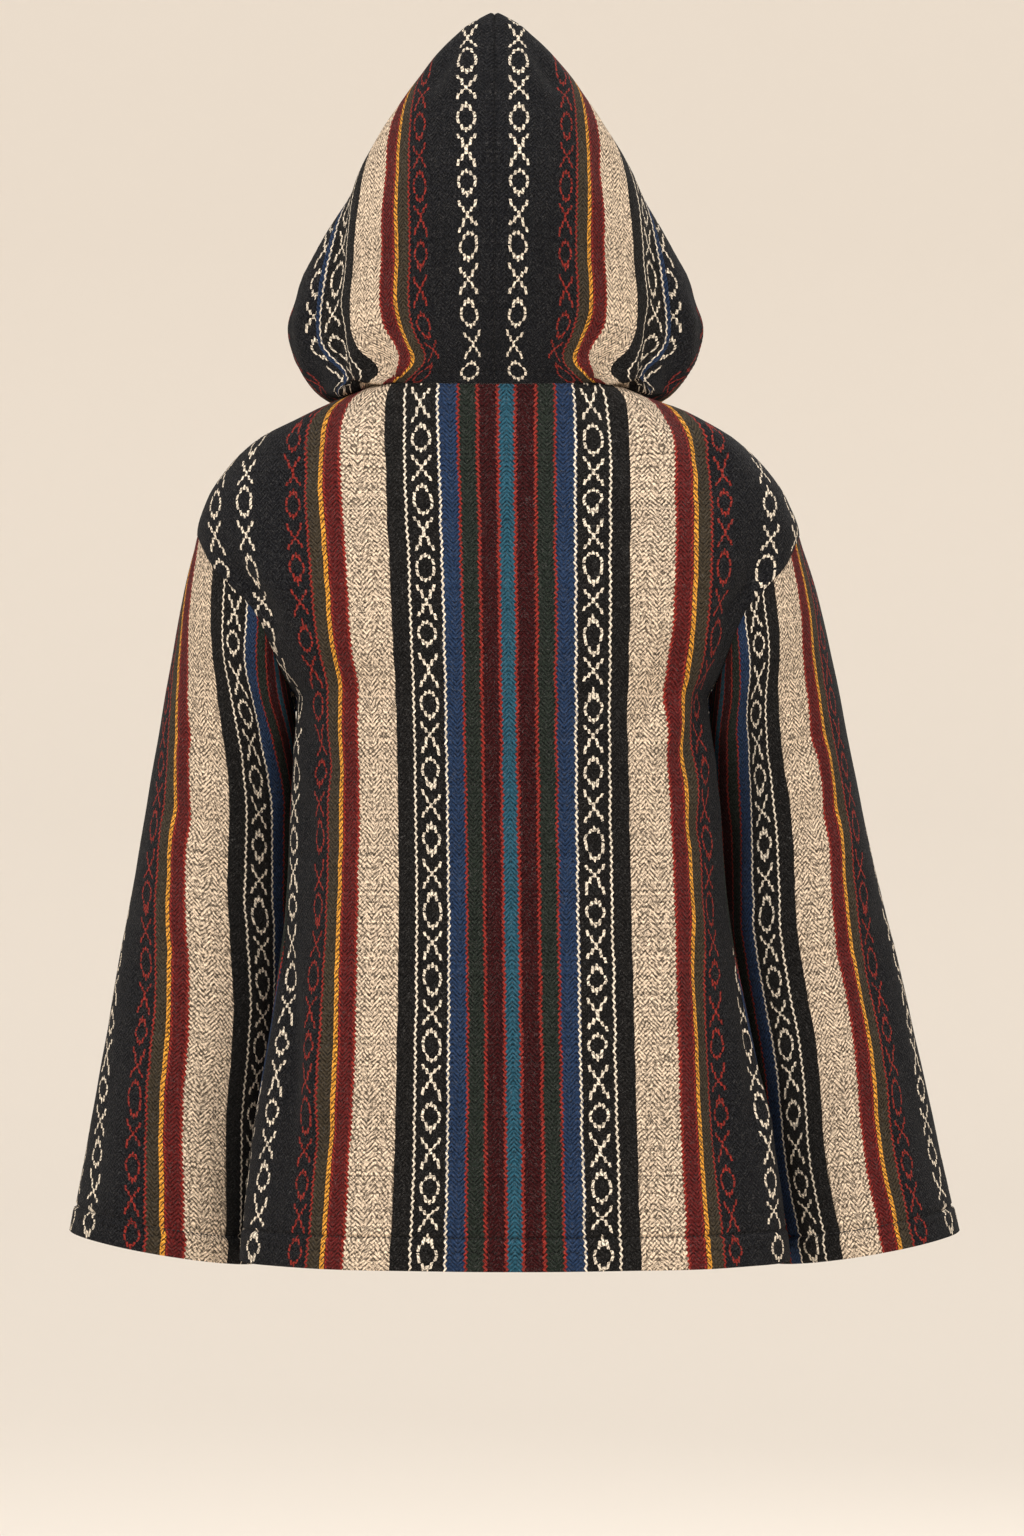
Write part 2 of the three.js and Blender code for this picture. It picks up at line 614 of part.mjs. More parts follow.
const zipHead = new THREE.Group();
const { place, lean } = sliderPlace();
zipHead.position.copy(place);
zipHead.rotation.x = lean;
root.add(zipHead);
add("zip_slider", slider().translate(0, -SLIDER_CLEAR, 0), METAL_FINISH, zipHead);
const barY = -SLIDER_CLEAR - SLIDER.thick - (BRIDGE.depth - BRIDGE.bar) / 2;
add("zip_pull", pull().translate(0, barY, 0), METAL_FINISH, zipHead);

export default root;
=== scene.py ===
# A hooded jacket of striped blanket cloth, seen from behind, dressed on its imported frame.
# Forms are worked out in millimetres, as in the frame's own source, and meshes are made in metres.
import math

import bmesh
import bpy
import numpy as np
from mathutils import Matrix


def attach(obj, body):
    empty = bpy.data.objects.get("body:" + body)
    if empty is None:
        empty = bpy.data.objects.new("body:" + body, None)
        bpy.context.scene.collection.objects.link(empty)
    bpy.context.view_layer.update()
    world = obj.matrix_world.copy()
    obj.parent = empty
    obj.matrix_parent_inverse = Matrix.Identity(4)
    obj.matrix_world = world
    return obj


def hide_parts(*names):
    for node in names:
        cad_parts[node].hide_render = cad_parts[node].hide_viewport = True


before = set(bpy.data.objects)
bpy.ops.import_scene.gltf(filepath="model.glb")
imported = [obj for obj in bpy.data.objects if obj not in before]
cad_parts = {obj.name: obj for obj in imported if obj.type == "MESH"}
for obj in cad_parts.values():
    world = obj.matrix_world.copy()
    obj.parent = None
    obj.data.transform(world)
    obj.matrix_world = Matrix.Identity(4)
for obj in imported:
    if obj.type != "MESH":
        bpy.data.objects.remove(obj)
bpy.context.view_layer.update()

MM = 0.001
TINY = 1e-9
FAR = 1e3  # stands for the distance to an edge that a row doesn't have

# Driving sizes
CLOTH = 2.4  # thickness of the cloth's shell
ZIP_GAP = 9
SEAM_GAP = 0.01
LEAN = 0.0237
LEAN_EASE = 40
UNDERARM_AT = 417
ARM_TOP_AT = 540
NECK_AT = 653
EDGE_EASE = 28
HEM_DEPTH = 24
CUFF_HEM_DEPTH = 20
FACE_HEM_DEPTH = 18
ZIP_HEM_DEPTH = 8
ARC_POINTS = 96

# How finely the shells are divided
STEP = 4.2
ARM_STEPS = 34
BACK_HALF = 250
BACK_SPANS = 62
FRONT_WIDTH = 235
FRONT_SPANS = 60
HOOD_WIDTH = 300
HOOD_SPANS = 84
HOOD_STEP = 3.4
SLEEVE_ROUND = 440
SLEEVE_SPANS = 108
SLEEVE_STEPS = 128
BESIDE_SEAM = np.array([0.8, 2, 4, 7])  # a shell has columns of its own this far from each side seam
LOW_FROM = 33  # above the hem's own rows the body's rows are STEP apart, up to the underarm
TOP_STEPS = 26
UNDER_NECK = np.array([5, 3, 1.5, 0.5, 0])  # the last rows, measured down from the neck seam
ARMHOLE_POINTS = 61
HEM_HEIGHTS = [0, 0.7, 1.8, 4, 9, 15, 19, 21.5, 22.8, HEM_DEPTH, 25.2, 26.5, 29]
HOOD_LOW_ROWS = [SEAM_GAP, 1, 2.2, 4]
HOOD_FROM = 7
HOOD_UNDER_PEAK = 6
HOOD_PEAK_ROWS = np.array([4, 2, 0.8, 0])  # measured down from the peak
ARMHOLE_SHARES = [0, 0.002, 0.005, 0.01]  # shares of the way from the armhole down to the cuff
SLEEVE_SHARES = (0.018, 0.952)
CUFF_SHARES = [0.957, 0.9595, 0.9615, 0.9635, 0.9655, 0.968, 0.975, 0.984, 0.991, 0.996, 0.9985, 1]

# How a seam and a hem look
SEAM_DIP = 2.4
SEAM_SOFT = 2.0
RELIEF_EASE = 12  # the relief fades this far from a seam
PEAK_EASE = 45
NECK_LEVEL = 9  # seams sink less and less this close to the neck seam
ARMHOLE_LEVEL = 5  # the armhole seam sinks only as much as the cloth does this far from other seams
CREASE_STRENGTH = 2.1
SLEEVE_CREASE_SHARE = 0.5  # the sleeves hang straighter
CREASE_BOW = 0.06  # how far a crease bows sideways, as a share of its length
CREASE_FADE = 0.3  # the share of its length over which each end fades
CREASE_START = 0.15
RIDGE_SHARE = 0.55  # height, place and width of the ridge beside a trough, against the trough's own
RIDGE_OFF = 1.9
RIDGE_WIDTH = 1.2
SLOW_RIPPLES = [(0.5, 31, 53, 0.7), (0.4, 19, -41, 2.1)]  # height, reach across and along, and phase
QUICK_RIPPLE = 0.22
QUICK_REACH = (8.3, 13)
QUICK_SWAY = (1.1, 27)
QUICK_PHASE = 0.4
FRONT_RIPPLE, HOOD_RIPPLE, SLEEVE_RIPPLE = 90, 70, 50  # the pieces' ripples start at places of their own
ZIP_EASE = 4
STITCH_DIP = 2.8
STITCH_SOFT = 1.2
HEM_RISE = 1.3
HEM_SOFT = 1.2
RIM_ROUND = 0.8
STITCH_PITCH = 3.6
STITCH_LENGTH = 2.7
STITCH_RADIUS = 0.58
PRISM_POINTS = 12  # a stitch and a tooth have three sections with four corners each
STITCH_TAPER = np.array([0.4, 1, 0.4])
STITCH_RISE = np.array([-0.2, 0.25, -0.2])
STITCH_SECTIONS = np.array([0, 0.5, 1])

# Rings of the body. at is the height above the hem. side, back and front give where the ring crosses the
# side seam, the centre back and the centre front. corner is how square the ring is, with 2 an ellipse.
BODY_COLUMNS = "at sideZ sideX sideY backZ backY frontZ frontY corner"
BODY_ROWS = [
    (0, -655, 204, 26, -655, 128, -655, -136, 2.3),
    (30, -625, 201.5, 28, -625, 128, -625, -136, 2.3),
    (95, -560, 193, 33, -560, 126, -560, -134, 2.25),
    (180, -475, 178, 38, -475, 123, -475, -130, 2.15),
    (264, -391, 166, 40, -391, 121, -391, -128, 2.05),
    (340, -315, 160.5, 34, -315, 120, -315, -129, 2.1),
    (417, -238, 154, 14, -238, 121, -238, -130, 2.35),
    (437, -218, 170, 10, -218, 121, -218, -129, 2.4),
    (464, -191, 194, 7, -191, 120, -191, -126, 2.4),
    (484, -171, 208, 5, -171, 118, -173, -122, 2.4),
    (516, -139, 223, 3, -139, 114, -146, -115, 2.35),
    (540, -115, 225.5, 1, -116, 109, -128, -109, 2.3),
    (567, -88, 217, 0, -90, 102, -112, -104, 2.25),
    (590, -65, 202, 0, -68, 96, -101, -100, 2.2),
    (612, -43, 179, 1, -47, 90, -92, -97, 2.15),
    (627, -28, 150, 2, -32, 84, -86, -94, 2.1),
    (640, -15, 122, 3, -19, 78, -80, -91, 2.1),
    (653, -2, 90, 4, -6, 72, -75, -88, 2.1),
]

ARMHOLE_COLUMNS = "at seamX"
ARMHOLE_ROWS = [(417, 154), (437, 163), (464, 173), (484, 183), (502, 200), (516, 213), (540, 225.5)]

# Soft folds of the body: side, low and high height, distance round the ring from the centre back at both of
# them, width, and depth, which is how far the fold goes in; below 0 it stands out.
BODY_FOLDS = [
    (1, -60, 400, 190, 160, 30, 9),
    (1, 60, 330, 142, 128, 30, -5),
    (1, -140, 300, 78, 92, 34, 3.5),
    (-1, -80, 380, 184, 164, 28, 8),
    (-1, 120, 360, 148, 126, 28, -4),
    (-1, -140, 240, 96, 84, 36, 3),
    (1, 380, 560, 176, 214, 22, 5),
    (-1, 390, 560, 172, 210, 22, 6),
    (1, -120, 330, 330, 318, 34, 6),
    (-1, -120, 300, 322, 312, 36, 6),
    (1, -100, 360, 400, 388, 30, 5),
    (-1, -100, 320, 408, 392, 30, 5),
]

# Rings of the hood, from the neck seam to the peak. front is the edge of the face opening, and from the ring
# where frontX is 0 it is the seam over the head.
HOOD_COLUMNS = "at sideZ sideX sideY backZ backY frontX frontY frontZ corner"
HOOD_ROWS = [
    (0, -2, 90, 4, -6, 72, 0, -88, -75, 2.1),
    (14, -6, 108, 0, 4, 76, 18, -94, -62, 1.85),
    (28, -9, 127, -10, 15, 81, 40, -97, -45, 1.6),
    (44, 2, 142, -24, 28, 87, 70, -95, -22, 1.42),
    (62, 20, 154, -35, 45, 93, 98, -90, 4, 1.32),
    (84, 44, 159, -41, 66, 98, 118, -85, 35, 1.28),
    (110, 72, 151, -41, 92, 101, 120, -85, 68, 1.3),
    (140, 103, 135, -34, 121, 100, 108, -90, 102, 1.38),
    (172, 138, 115, -23, 152, 94, 84, -99, 134, 1.52),
    (204, 172, 96, -13, 183, 83, 46, -107, 160, 1.66),
    (230, 198, 80, -6, 207, 72, 0, -106, 182, 1.78),
    (256, 224, 61, 3, 229, 59, 0, -72, 208, 1.85),
    (280, 248, 40, 11, 250, 45, 0, -36, 236, 1.92),
    (300, 265, 21, 16, 266, 32, 0, -4, 258, 2),
    (318, 275, 3, 19, 275, 21, 0, 17, 274, 2),
]
HOOD_FOLDS = [
    (1, 8, 200, 150, 166, 15, 7),
    (-1, 8, 190, 152, 168, 15, 6),
    (1, 4, 80, 104, 84, 16, 6),
    (-1, 4, 74, 100, 80, 16, 6),
    (1, 2, 60, 134, 120, 13, -4),
    (-1, 2, 60, 130, 116, 13, -4),
]

# Rings of the sleeve below the armhole seam: the outer end, the inner end beside the body, the middle's Y,
# and half the ring's size from front to back.
SLEEVE_COLUMNS = "outerX outerZ innerX innerZ midY halfDepth"
SLEEVE_ROWS = [
    (238, -158, 155, -258, -10, 67),
    (249, -208, 156, -286, -26, 70),
    (262, -272, 155, -326, -38, 73),
    (279, -358, 158, -400, -46, 74),
    (298, -450, 169, -486, -50, 75),
    (317, -545, 183, -576, -52, 76),
    (337, -640, 194, -664, -53, 78),
]
# Folds of the sleeve, in rings from the armhole and in turns, with 0 the outer side and 0.25 the back.
SLEEVE_FOLDS = [
    (1, 0.4, 4.6, 0.3, 0.37, 0.05, 6),
    (-1, 0.5, 4.2, 0.31, 0.38, 0.05, 7),
    (1, 2.6, 8, 0.16, 0.12, 0.06, 3),
    (-1, 2.2, 8, 0.15, 0.11, 0.06, 3),
    (1, 0.6, 5.4, 0.74, 0.8, 0.06, 6),
    (-1, 0.6, 5, 0.72, 0.79, 0.06, 6),
]

# Creases in the cloth: u and v of both ends in millimetres on the piece, width, and depth,
# which is how far the trough goes in. u runs round the piece and v up it.
BACK_CREASES = [
    (182, 400, 128, 352, 15, 1.6),
    (196, 376, 150, 300, 14, 1.3),
    (150, 440, 92, 420, 13, 1.4),
    (60, 660, 104, 560, 15, 1.4),
    (120, 640, 168, 560, 12, 1.8),
    (216, 520, 170, 462, 11, 2.2),
    (120, 210, 152, 60, 15, 1.7),
    (200, 250, 176, 90, 13, 2.2),
    (40, 330, 24, 120, 18, 1.1),
    (-176, 404, -122, 366, 15, 1.5),
    (-190, 370, -140, 310, 14, 1.1),
    (-136, 470, -96, 380, 12, 2.0),
    (-64, 655, -110, 570, 14, 1.6),
    (-126, 645, -176, 560, 13, 1.7),
    (-214, 524, -168, 470, 12, 2.2),
    (-130, 260, -160, 40, 14, 1.8),
    (-206, 220, -184, 70, 12, 2.0),
    (-34, 240, -52, 60, 18, 1.1),
    (0, 560, 12, 430, 20, 0.9),
]
FRONT_FULL = 421  # the front's creases are placed from the centre back, round to the centre front
FRONT_CREASES = [
    (262, 400, 322, 340, 10, 2.4),
    (256, 360, 300, 300, 11, 2.2),
    (300, 520, 350, 420, 13, 1.7),
    (330, 610, 372, 540, 13, 1.5),
    (286, 240, 272, 60, 14, 2.0),
    (350, 260, 362, 50, 15, 1.6),
    (410, 330, 398, 150, 16, 1.2),
]
HOOD_CREASES = [
    (70, 2, 112, 64, 8, 2.6),
    (96, 0, 132, 44, 7, 2.8),
    (44, 2, 62, 50, 9, 1.5),
    (118, 10, 150, 90, 9, 2.0),
    (160, 20, 176, 110, 12, 1.8),
    (190, 30, 214, 120, 12, 1.6),
    (26, 296, 60, 236, 9, 1.6),
    (12, 300, 22, 240, 8, 1.2),
    (90, 200, 130, 150, 14, 1.0),
]
SLEEVE_CREASES = [
    (60, 400, 128, 356, 10, 2.6),
    (48, 340, 120, 318, 11, 2.0),
    (96, 300, 150, 262, 12, 2.2),
    (70, 232, 132, 214, 12, 1.6),
    (24, 260, 84, 176, 15, 1.4),
    (104, 170, 92, 30, 14, 1.6),
    (52, 150, 44, 10, 16, 1.2),
    (-60, 390, -130, 330, 11, 2.4),
    (-70, 290, -140, 250, 12, 2.2),
    (-40, 220, -110, 180, 13, 1.6),
    (-90, 140, -84, 20, 15, 1.4),
    (168, 360, 190, 240, 13, 2.0),
]

# The stripes, as distances from a mirror line of the pattern to the next one.
HALF_REPEAT = 231
CHARCOAL = (0.0070, 0.0072, 0.0086)
BLACK = (0.0070, 0.0064, 0.0060)
CREAM = (0.61, 0.475, 0.345)
DARK_MAROON = (0.028, 0.0036, 0.0040)
MAROON = (0.080, 0.0090, 0.0085)
RED = (0.20, 0.019, 0.013)
OLIVE = (0.036, 0.027, 0.0165)
YELLOW = (0.58, 0.25, 0.03)
GREEN = (0.0125, 0.0165, 0.0125)
BLUE = (0.0125, 0.0265, 0.062)
TURQUOISE = (0.0155, 0.064, 0.095)
OFF_WHITE = (0.66, 0.565, 0.445)
FLECK = (0.055, 0.040, 0.027)
# Painted sheen: a pale colour mixed into the nap's hairs in place of the light they catch.
PAINTED_NAP_SHEEN = (0.32, 0.305, 0.29)
STRIPES = [
    (0, TURQUOISE),
    (5.5, DARK_MAROON),
    (22, GREEN),
    (36, BLUE),
    (51.5, BLACK),
    (92.5, CREAM),
    (128, MAROON),
    (142, YELLOW),
    (145.5, OLIVE),
    (157.5, CHARCOAL),
]
# Thin red lines with toothed edges, and thin white ones that run in zigzag.
RED_LINES = [(5.3, 7.5), (20.4, 22.6), (35.2, 37), (127.4, 129.6), (140.6, 142), (156.8, 158.6)]
WHITE_LINES = [(50.4, 52.0), (76.8, 78.4)]
CREAM_BAND = (92.5, 127.8)
YELLOW_BAND = (142, 145.4)

# The bands of small woven rings and crosses: the middle of each, the pitch of its columns and its colour.
MOTIF_BANDS = [(64.6, 3.2, OFF_WHITE), (169, 2.8, RED), (213.5, 3.5, OFF_WHITE)]
MOTIF_REPEAT = 50
MOTIF_COLUMNS = 2.5  # half the number of columns
RING_RISE = 10.2  # from the ring's middle to its top dash
RING_BEND = (0.65, 1.55)  # how the next columns' dashes come down, in proportion and as a square
CROSS_STEP = 4.2
DASH = 2.3  # half a dash's length
DASH_WIDTH = 0.33  # half of it, as a share of the pitch
DASH_SLANT = 0.24
MOTIF_DRIFT = 18.0
MOTIF_FUZZ = 1.4
DASH_FUZZ = 0.9

# The yarn's own unevenness. CELLS are a noise's cells for each millimetre, across and along the cloth, and
# NOISE is its detail and roughness.
FUZZ_CELLS = (0.8, 0.8)
EDGE_FUZZ = 1.6
DRIFT_CELLS = (0.02, 0.045)
STRIPE_DRIFT = 2.4
PATCH_CELLS = (0.05, 0.03)
PATCH_NOISE = (3.0, 0.6)
PATCH_LIGHT = 0.5

# The cream cloth's dark ticks lie in slanting rows, which turn back at each TICK_TURN.
TICK_TURN = 13.0
TICK_DRIFT = 14
TICK_PITCH = 4.0
TICK_ROWS = 0.075
TICK_CELLS = (0.2, 0.42)
TICK_NOISE = (2.0, 0.6)
TICK_START = 0.015
TICK_EDGE = 0.035
TICK_STRENGTH = 0.85
HOOD_TICK_START = 0.05

# Edges of the thin lines: half the pitch of their teeth, and how far a tooth reaches.
RED_TEETH = (2.1, 0.8)
WHITE_TEETH = (2.7, 0.55)
STRAND_PITCH = 5.0
STRAND_GAP = 1.3
STRAND_SLANT = 1.2

# The twill turns back at each CHEVRON, and its yarns make the cloth lighter and darker; its nap's hairs get
# a painted sheen, a pale colour in place of the light they catch.
CHEVRON = 6.0
TWILL_PITCH = 3.4
TWILL_LIGHT = 0.4
YARN_CELLS = (0.62, 0.24)
YARN_NOISE = (3.0, 0.65)
YARN_LIGHT = 4.2
LEAST_LIGHT = 0.25
HAIR_CELLS = (0.5, 0.5)
HAIR_NOISE = (2.0, 0.7)
HAIR_CURL = 2.2
HAIR_SHEEN_EDGES = (0.05, 0.2)
HAIR_SHEEN_STRENGTH = 0.16
TWILL_RELIEF = 0.25
YARN_RELIEF = 1.1

# Surfaces. A bump is given by its strength and its distance in metres.
CLOTH_BUMP = (0.8, 0.0009)
CLOTH_SURFACE = {
    "Roughness": 0.96,
    "Specular IOR Level": 0.06,
    "Sheen Weight": 0.035,
    "Sheen Roughness": 0.5,
    "Sheen Tint": (0.85, 0.82, 0.80, 1),
}
GRAIN_BUMP = (0.35, 0.0002)
GRAIN_DETAIL = 4
GRAIN_EDGES = (0.35, 0.65)
THREAD = {"dark": (0.010, 0.010, 0.011), "light": (0.022, 0.021, 0.021), "scale": 900, "rough": (0.9, 0.8)}
METAL = {"dark": (0.16, 0.115, 0.065), "light": (0.42, 0.33, 0.20), "scale": 260, "rough": (0.5, 0.28)}
TAPE = {"dark": (0.010, 0.010, 0.012), "light": (0.035, 0.035, 0.04), "scale": 1400, "rough": (0.95, 0.85)}

# The hood's cloth is cut from another part of the web: its back seam lies at HOOD_START of the pattern, and
# from HOOD_JUMP round it the pattern goes back by HOOD_AGAIN.
HOOD_START = 236
HOOD_JUMP = 190
HOOD_AGAIN = 170
HOOD_STRETCH = 0.93  # the hood's cloth is woven this much narrower
HOOD_RIGHT_SHIFT = 2.4  # the right half is cut this much nearer the seam
HOOD_PINCH = 0.23  # the stripes draw together this much above the neck
PINCH_AT = 34
PINCH_REACH = 24
BACK_SHIFT = 8.4  # the back's pattern drifts this far to the side, from the hem up to the neck
BACK_DRAW = (0.05, 0.13)  # and draws together at mid-height, on the right and on the left
SLEEVE_WAVE = 2.2
SLEEVE_STRETCH = {1: 1.0, -1: 1.18}  # the sleeves' stripes lie this much closer together
SLEEVE_WAVE_PITCH = 170

# Where the cream stripe's middle runs down each sleeve's back, as |X| at a height.
CREAM_MIDDLE = 110
CREAM_TURNS = (1.0, 1.45)  # the part of the round in which it is looked for
CREAM_WINDOW = 27  # its place is averaged over this many rows
SLEEVE_CREAM = {
    1: [(-115, 221), (-163, 222), (-433, 222), (-643, 231)],
    -1: [(-115, 212), (-193, 214), (-433, 234), (-643, 256)],
}

# The zip's teeth and how its metal parts are rounded
ZIP_ENDS = 1
TOOTH_STEP = 1.3
TOOTH_REACH = (-0.5, 2.8)
TOOTH_HALF = 0.62
TOOTH_DEPTHS = (2.5, 1.1, 0.6)
TOOTH_INSET = 0.35
METAL_ROUND = 0.0003

METAL_SEGMENTS = 2
FLAT_ANGLE = 2  # an edge that turns less is taken out
SHARP_ANGLE = 40  # an edge that turns more is rounded

NAMES = {1: "left", -1: "right"}


def table(names, rows):
    return {name: np.array(column, float) for name, column in zip(names.split(), zip(*rows))}


BODY = table(BODY_COLUMNS, BODY_ROWS)
ARMHOLE = table(ARMHOLE_COLUMNS, ARMHOLE_ROWS)
HOOD = table(HOOD_COLUMNS, HOOD_ROWS)
SLEEVE = table(SLEEVE_COLUMNS, SLEEVE_ROWS)


def mix(a, b, share):
    return a + (b - a) * share


def curve(start, end, leaving, arriving, t):
    """A cubic from start to end with these slopes at its ends, at a share t of the way."""
    return (
        start * (1 + 2 * t) * (1 - t) ** 2
        + end * t * t * (3 - 2 * t)
        + leaving * t * (1 - t) ** 2
        - arriving * t * t * (1 - t)
    )


def smooth(rings, column, at):
    """A smooth value of one column between its rows, which never swings past them."""
    x, y = rings["at"], rings[column]
    at = min(max(at, x[0]), x[-1])
    i = min(max(int(np.searchsorted(x, at)) - 1, 0), len(x) - 2)
    slope = np.diff(y) / np.diff(x)

    def tangent(k):
        if k == 0 or k == len(x) - 1:
            return slope[0 if k == 0 else -1]
        before, after = slope[k - 1], slope[k]
        return 0.0 if before * after <= 0 else 2 * before * after / (before + after)

    step = x[i + 1] - x[i]
    return curve(y[i], y[i + 1], tangent(i) * step, tangent(i + 1) * step, (at - x[i]) / step)


def fold_depth(fold, at, place):
    _, low, high, place_low, place_high, width, depth = fold
    run = (at - low) / (high - low)
    inside = (run > 0) & (run < 1)
    off = (place - mix(place_low, place_high, run)) / width
    return np.where(inside, depth * np.sin(np.pi * run) * np.exp(-off * off), 0.0)


def run_lengths(points):
    """The length along a line of points, at each of them."""
    return np.concatenate([[0], np.cumsum(np.linalg.norm(np.diff(points, axis=0), axis=1))])


def sampled(points, lengths, at):
    """Points on a line at lengths along it."""
    return np.stack([np.interp(at, lengths, points[:, k]) for k in range(3)], axis=-1)


def half_ring(rings, folds, at, side):
    """Half a ring on the wearer's left, from the centre back to the front, with its length at each point."""
    sizes = {name: smooth(rings, name, at) for name in rings if name != "at"}
    angle = np.arange(2 * ARC_POINTS + 1) / ARC_POINTS * (math.pi / 2)
    power = 2 / sizes["corner"]
    across = np.abs(np.sin(angle)) ** power
    along = np.abs(np.cos(angle)) ** power
    turn = np.cos(angle) ** 2
    back = np.arange(2 * ARC_POINTS + 1) <= ARC_POINTS
    front_x = sizes.get("frontX", 0.0)
    points = np.stack(
        [
            np.where(back, sizes["sideX"] * across, mix(front_x, sizes["sideX"], across)),
            mix(sizes["sideY"], np.where(back, sizes["backY"], sizes["frontY"]), along),
            mix(sizes["sideZ"], np.where(back, sizes["backZ"], sizes["frontZ"]), turn),
        ],
        axis=1,
    )
    lengths = run_lengths(points)
    run = np.gradient(points, axis=0)
    inward = np.stack([run[:, 1], -run[:, 0], np.zeros(len(run))], axis=1)
    inward /= np.linalg.norm(inward, axis=1, keepdims=True)
    depth = sum(fold_depth(fold, at, lengths) for fold in folds if fold[0] == side)
    folded = points + inward * np.broadcast_to(depth, lengths.shape)[:, None]
    return {"points": folded, "lengths": lengths, "side": lengths[ARC_POINTS], "full": lengths[-1]}


def ring_points(ring, lengths):
    return sampled(ring["points"], ring["lengths"], lengths)


def arm_length(ring, at, front):
    """How far round the ring the armhole seam is, at the back or at the front."""
    if at <= UNDERARM_AT or at >= ARM_TOP_AT:
        return ring["side"]
    seam_x = smooth(ARMHOLE, "seamX", at)
    x, lengths = ring["points"][:, 0], ring["lengths"]
    order = range(2 * ARC_POINTS, ARC_POINTS, -1) if front else range(ARC_POINTS)
    step = -1 if front else 1
    for i in order:
        if x[i + step] >= seam_x:
            share = (seam_x - x[i]) / (x[i + step] - x[i])
            return mix(lengths[i], lengths[i + step], share)
    return ring["side"]


def armhole_heights(count):
    """Heights from the underarm to the top of the arm, closer together at both ends."""
    return mix(UNDERARM_AT, ARM_TOP_AT, (1 - np.cos(np.linspace(0, math.pi, count))) / 2)


def body_heights():
    """Heights of the body's rows above the hem, close together where the hem is stitched."""
    low = np.arange(LOW_FROM, UNDERARM_AT - 1, STEP)
    arm = armhole_heights(ARM_STEPS + 1)
    neck = NECK_AT - UNDER_NECK
    top = np.linspace(ARM_TOP_AT, neck[0], TOP_STEPS)[1:]
    return np.concatenate([HEM_HEIGHTS, low, arm, top, neck[1:]])


def seamed_shares(length, count):
    """Shares from 0 to 1, with a few more beside each end, for a piece about length mm wide."""
    close = BESIDE_SEAM / length
    return np.unique(np.round(np.concatenate([np.linspace(0, 1, count + 1), close, 1 - close]), 5))


def lean(points):
    out = points.copy()
    z = points[..., 2]
    out[..., 0] += LEAN * (z - np.hypot(z, LEAN_EASE)) / 2
    return out


def unit(vectors):
    return vectors / np.maximum(np.linalg.norm(vectors, axis=-1, keepdims=True), TINY)


def normals(points):
    """Outward normals of a panel's grid."""
    return unit(np.cross(np.gradient(points, axis=0), np.gradient(points, axis=1)))


def crease_height(creases, u, v):
    height = np.zeros_like(u)
    for ua, va, ub, vb, width, depth in creases:
        du, dv = ub - ua, vb - va
        length = math.hypot(du, dv)
        along = ((u - ua) * du + (v - va) * dv) / length**2
        bow = CREASE_BOW * length * np.sin(np.pi * np.clip(along, 0, 1))
        off = ((u - ua) * dv - (v - va) * du) / length - bow
        ends = np.clip(np.minimum(along, 1 - along) / CREASE_FADE + CREASE_START, 0, 1)
        ends = ends * ends * (3 - 2 * ends)
        trough = np.exp(-((off / width) ** 2))
        ridge = RIDGE_SHARE * np.exp(-(((off - RIDGE_OFF * width) / (RIDGE_WIDTH * width)) ** 2))
        height += depth * ends * (ridge - trough)
    return CREASE_STRENGTH * height


def ripple(u, v):
    """The slight unevenness of thick cloth that hangs."""
    slow = sum(rise * np.sin(u / across + v / along + phase) for rise, across, along, phase in SLOW_RIPPLES)
    sway = QUICK_SWAY[0] * np.sin(v / QUICK_SWAY[1])
    quick = QUICK_RIPPLE * np.sin(u / QUICK_REACH[0] + sway) * np.sin(v / QUICK_REACH[1] + QUICK_PHASE)
    return slow + quick


def stitched_edge(distance, depth):
    """The relief of a folded and stitched edge, at a distance from it."""
    fold = HEM_RISE / (1 + np.exp((distance - depth) / HEM_SOFT))
    groove = STITCH_DIP * np.exp(-(((distance - depth) / STITCH_SOFT) ** 2))
    return fold - groove


def eased(distance, ease=RELIEF_EASE):
    return np.clip(distance / ease, 0, 1)


def level_at_neck(seam, to_neck):
    """Distances from a seam, made larger close to the neck seam, so that the pieces meet there."""
    return seam + np.clip(NECK_LEVEL - to_neck, 0, None)


def body_seam(seam, v):
    """The same for the body's side seam, and made larger too where it becomes the armhole seam."""
    return level_at_neck(seam, NECK_AT - v) + ARMHOLE_LEVEL * eased(v - UNDERARM_AT)


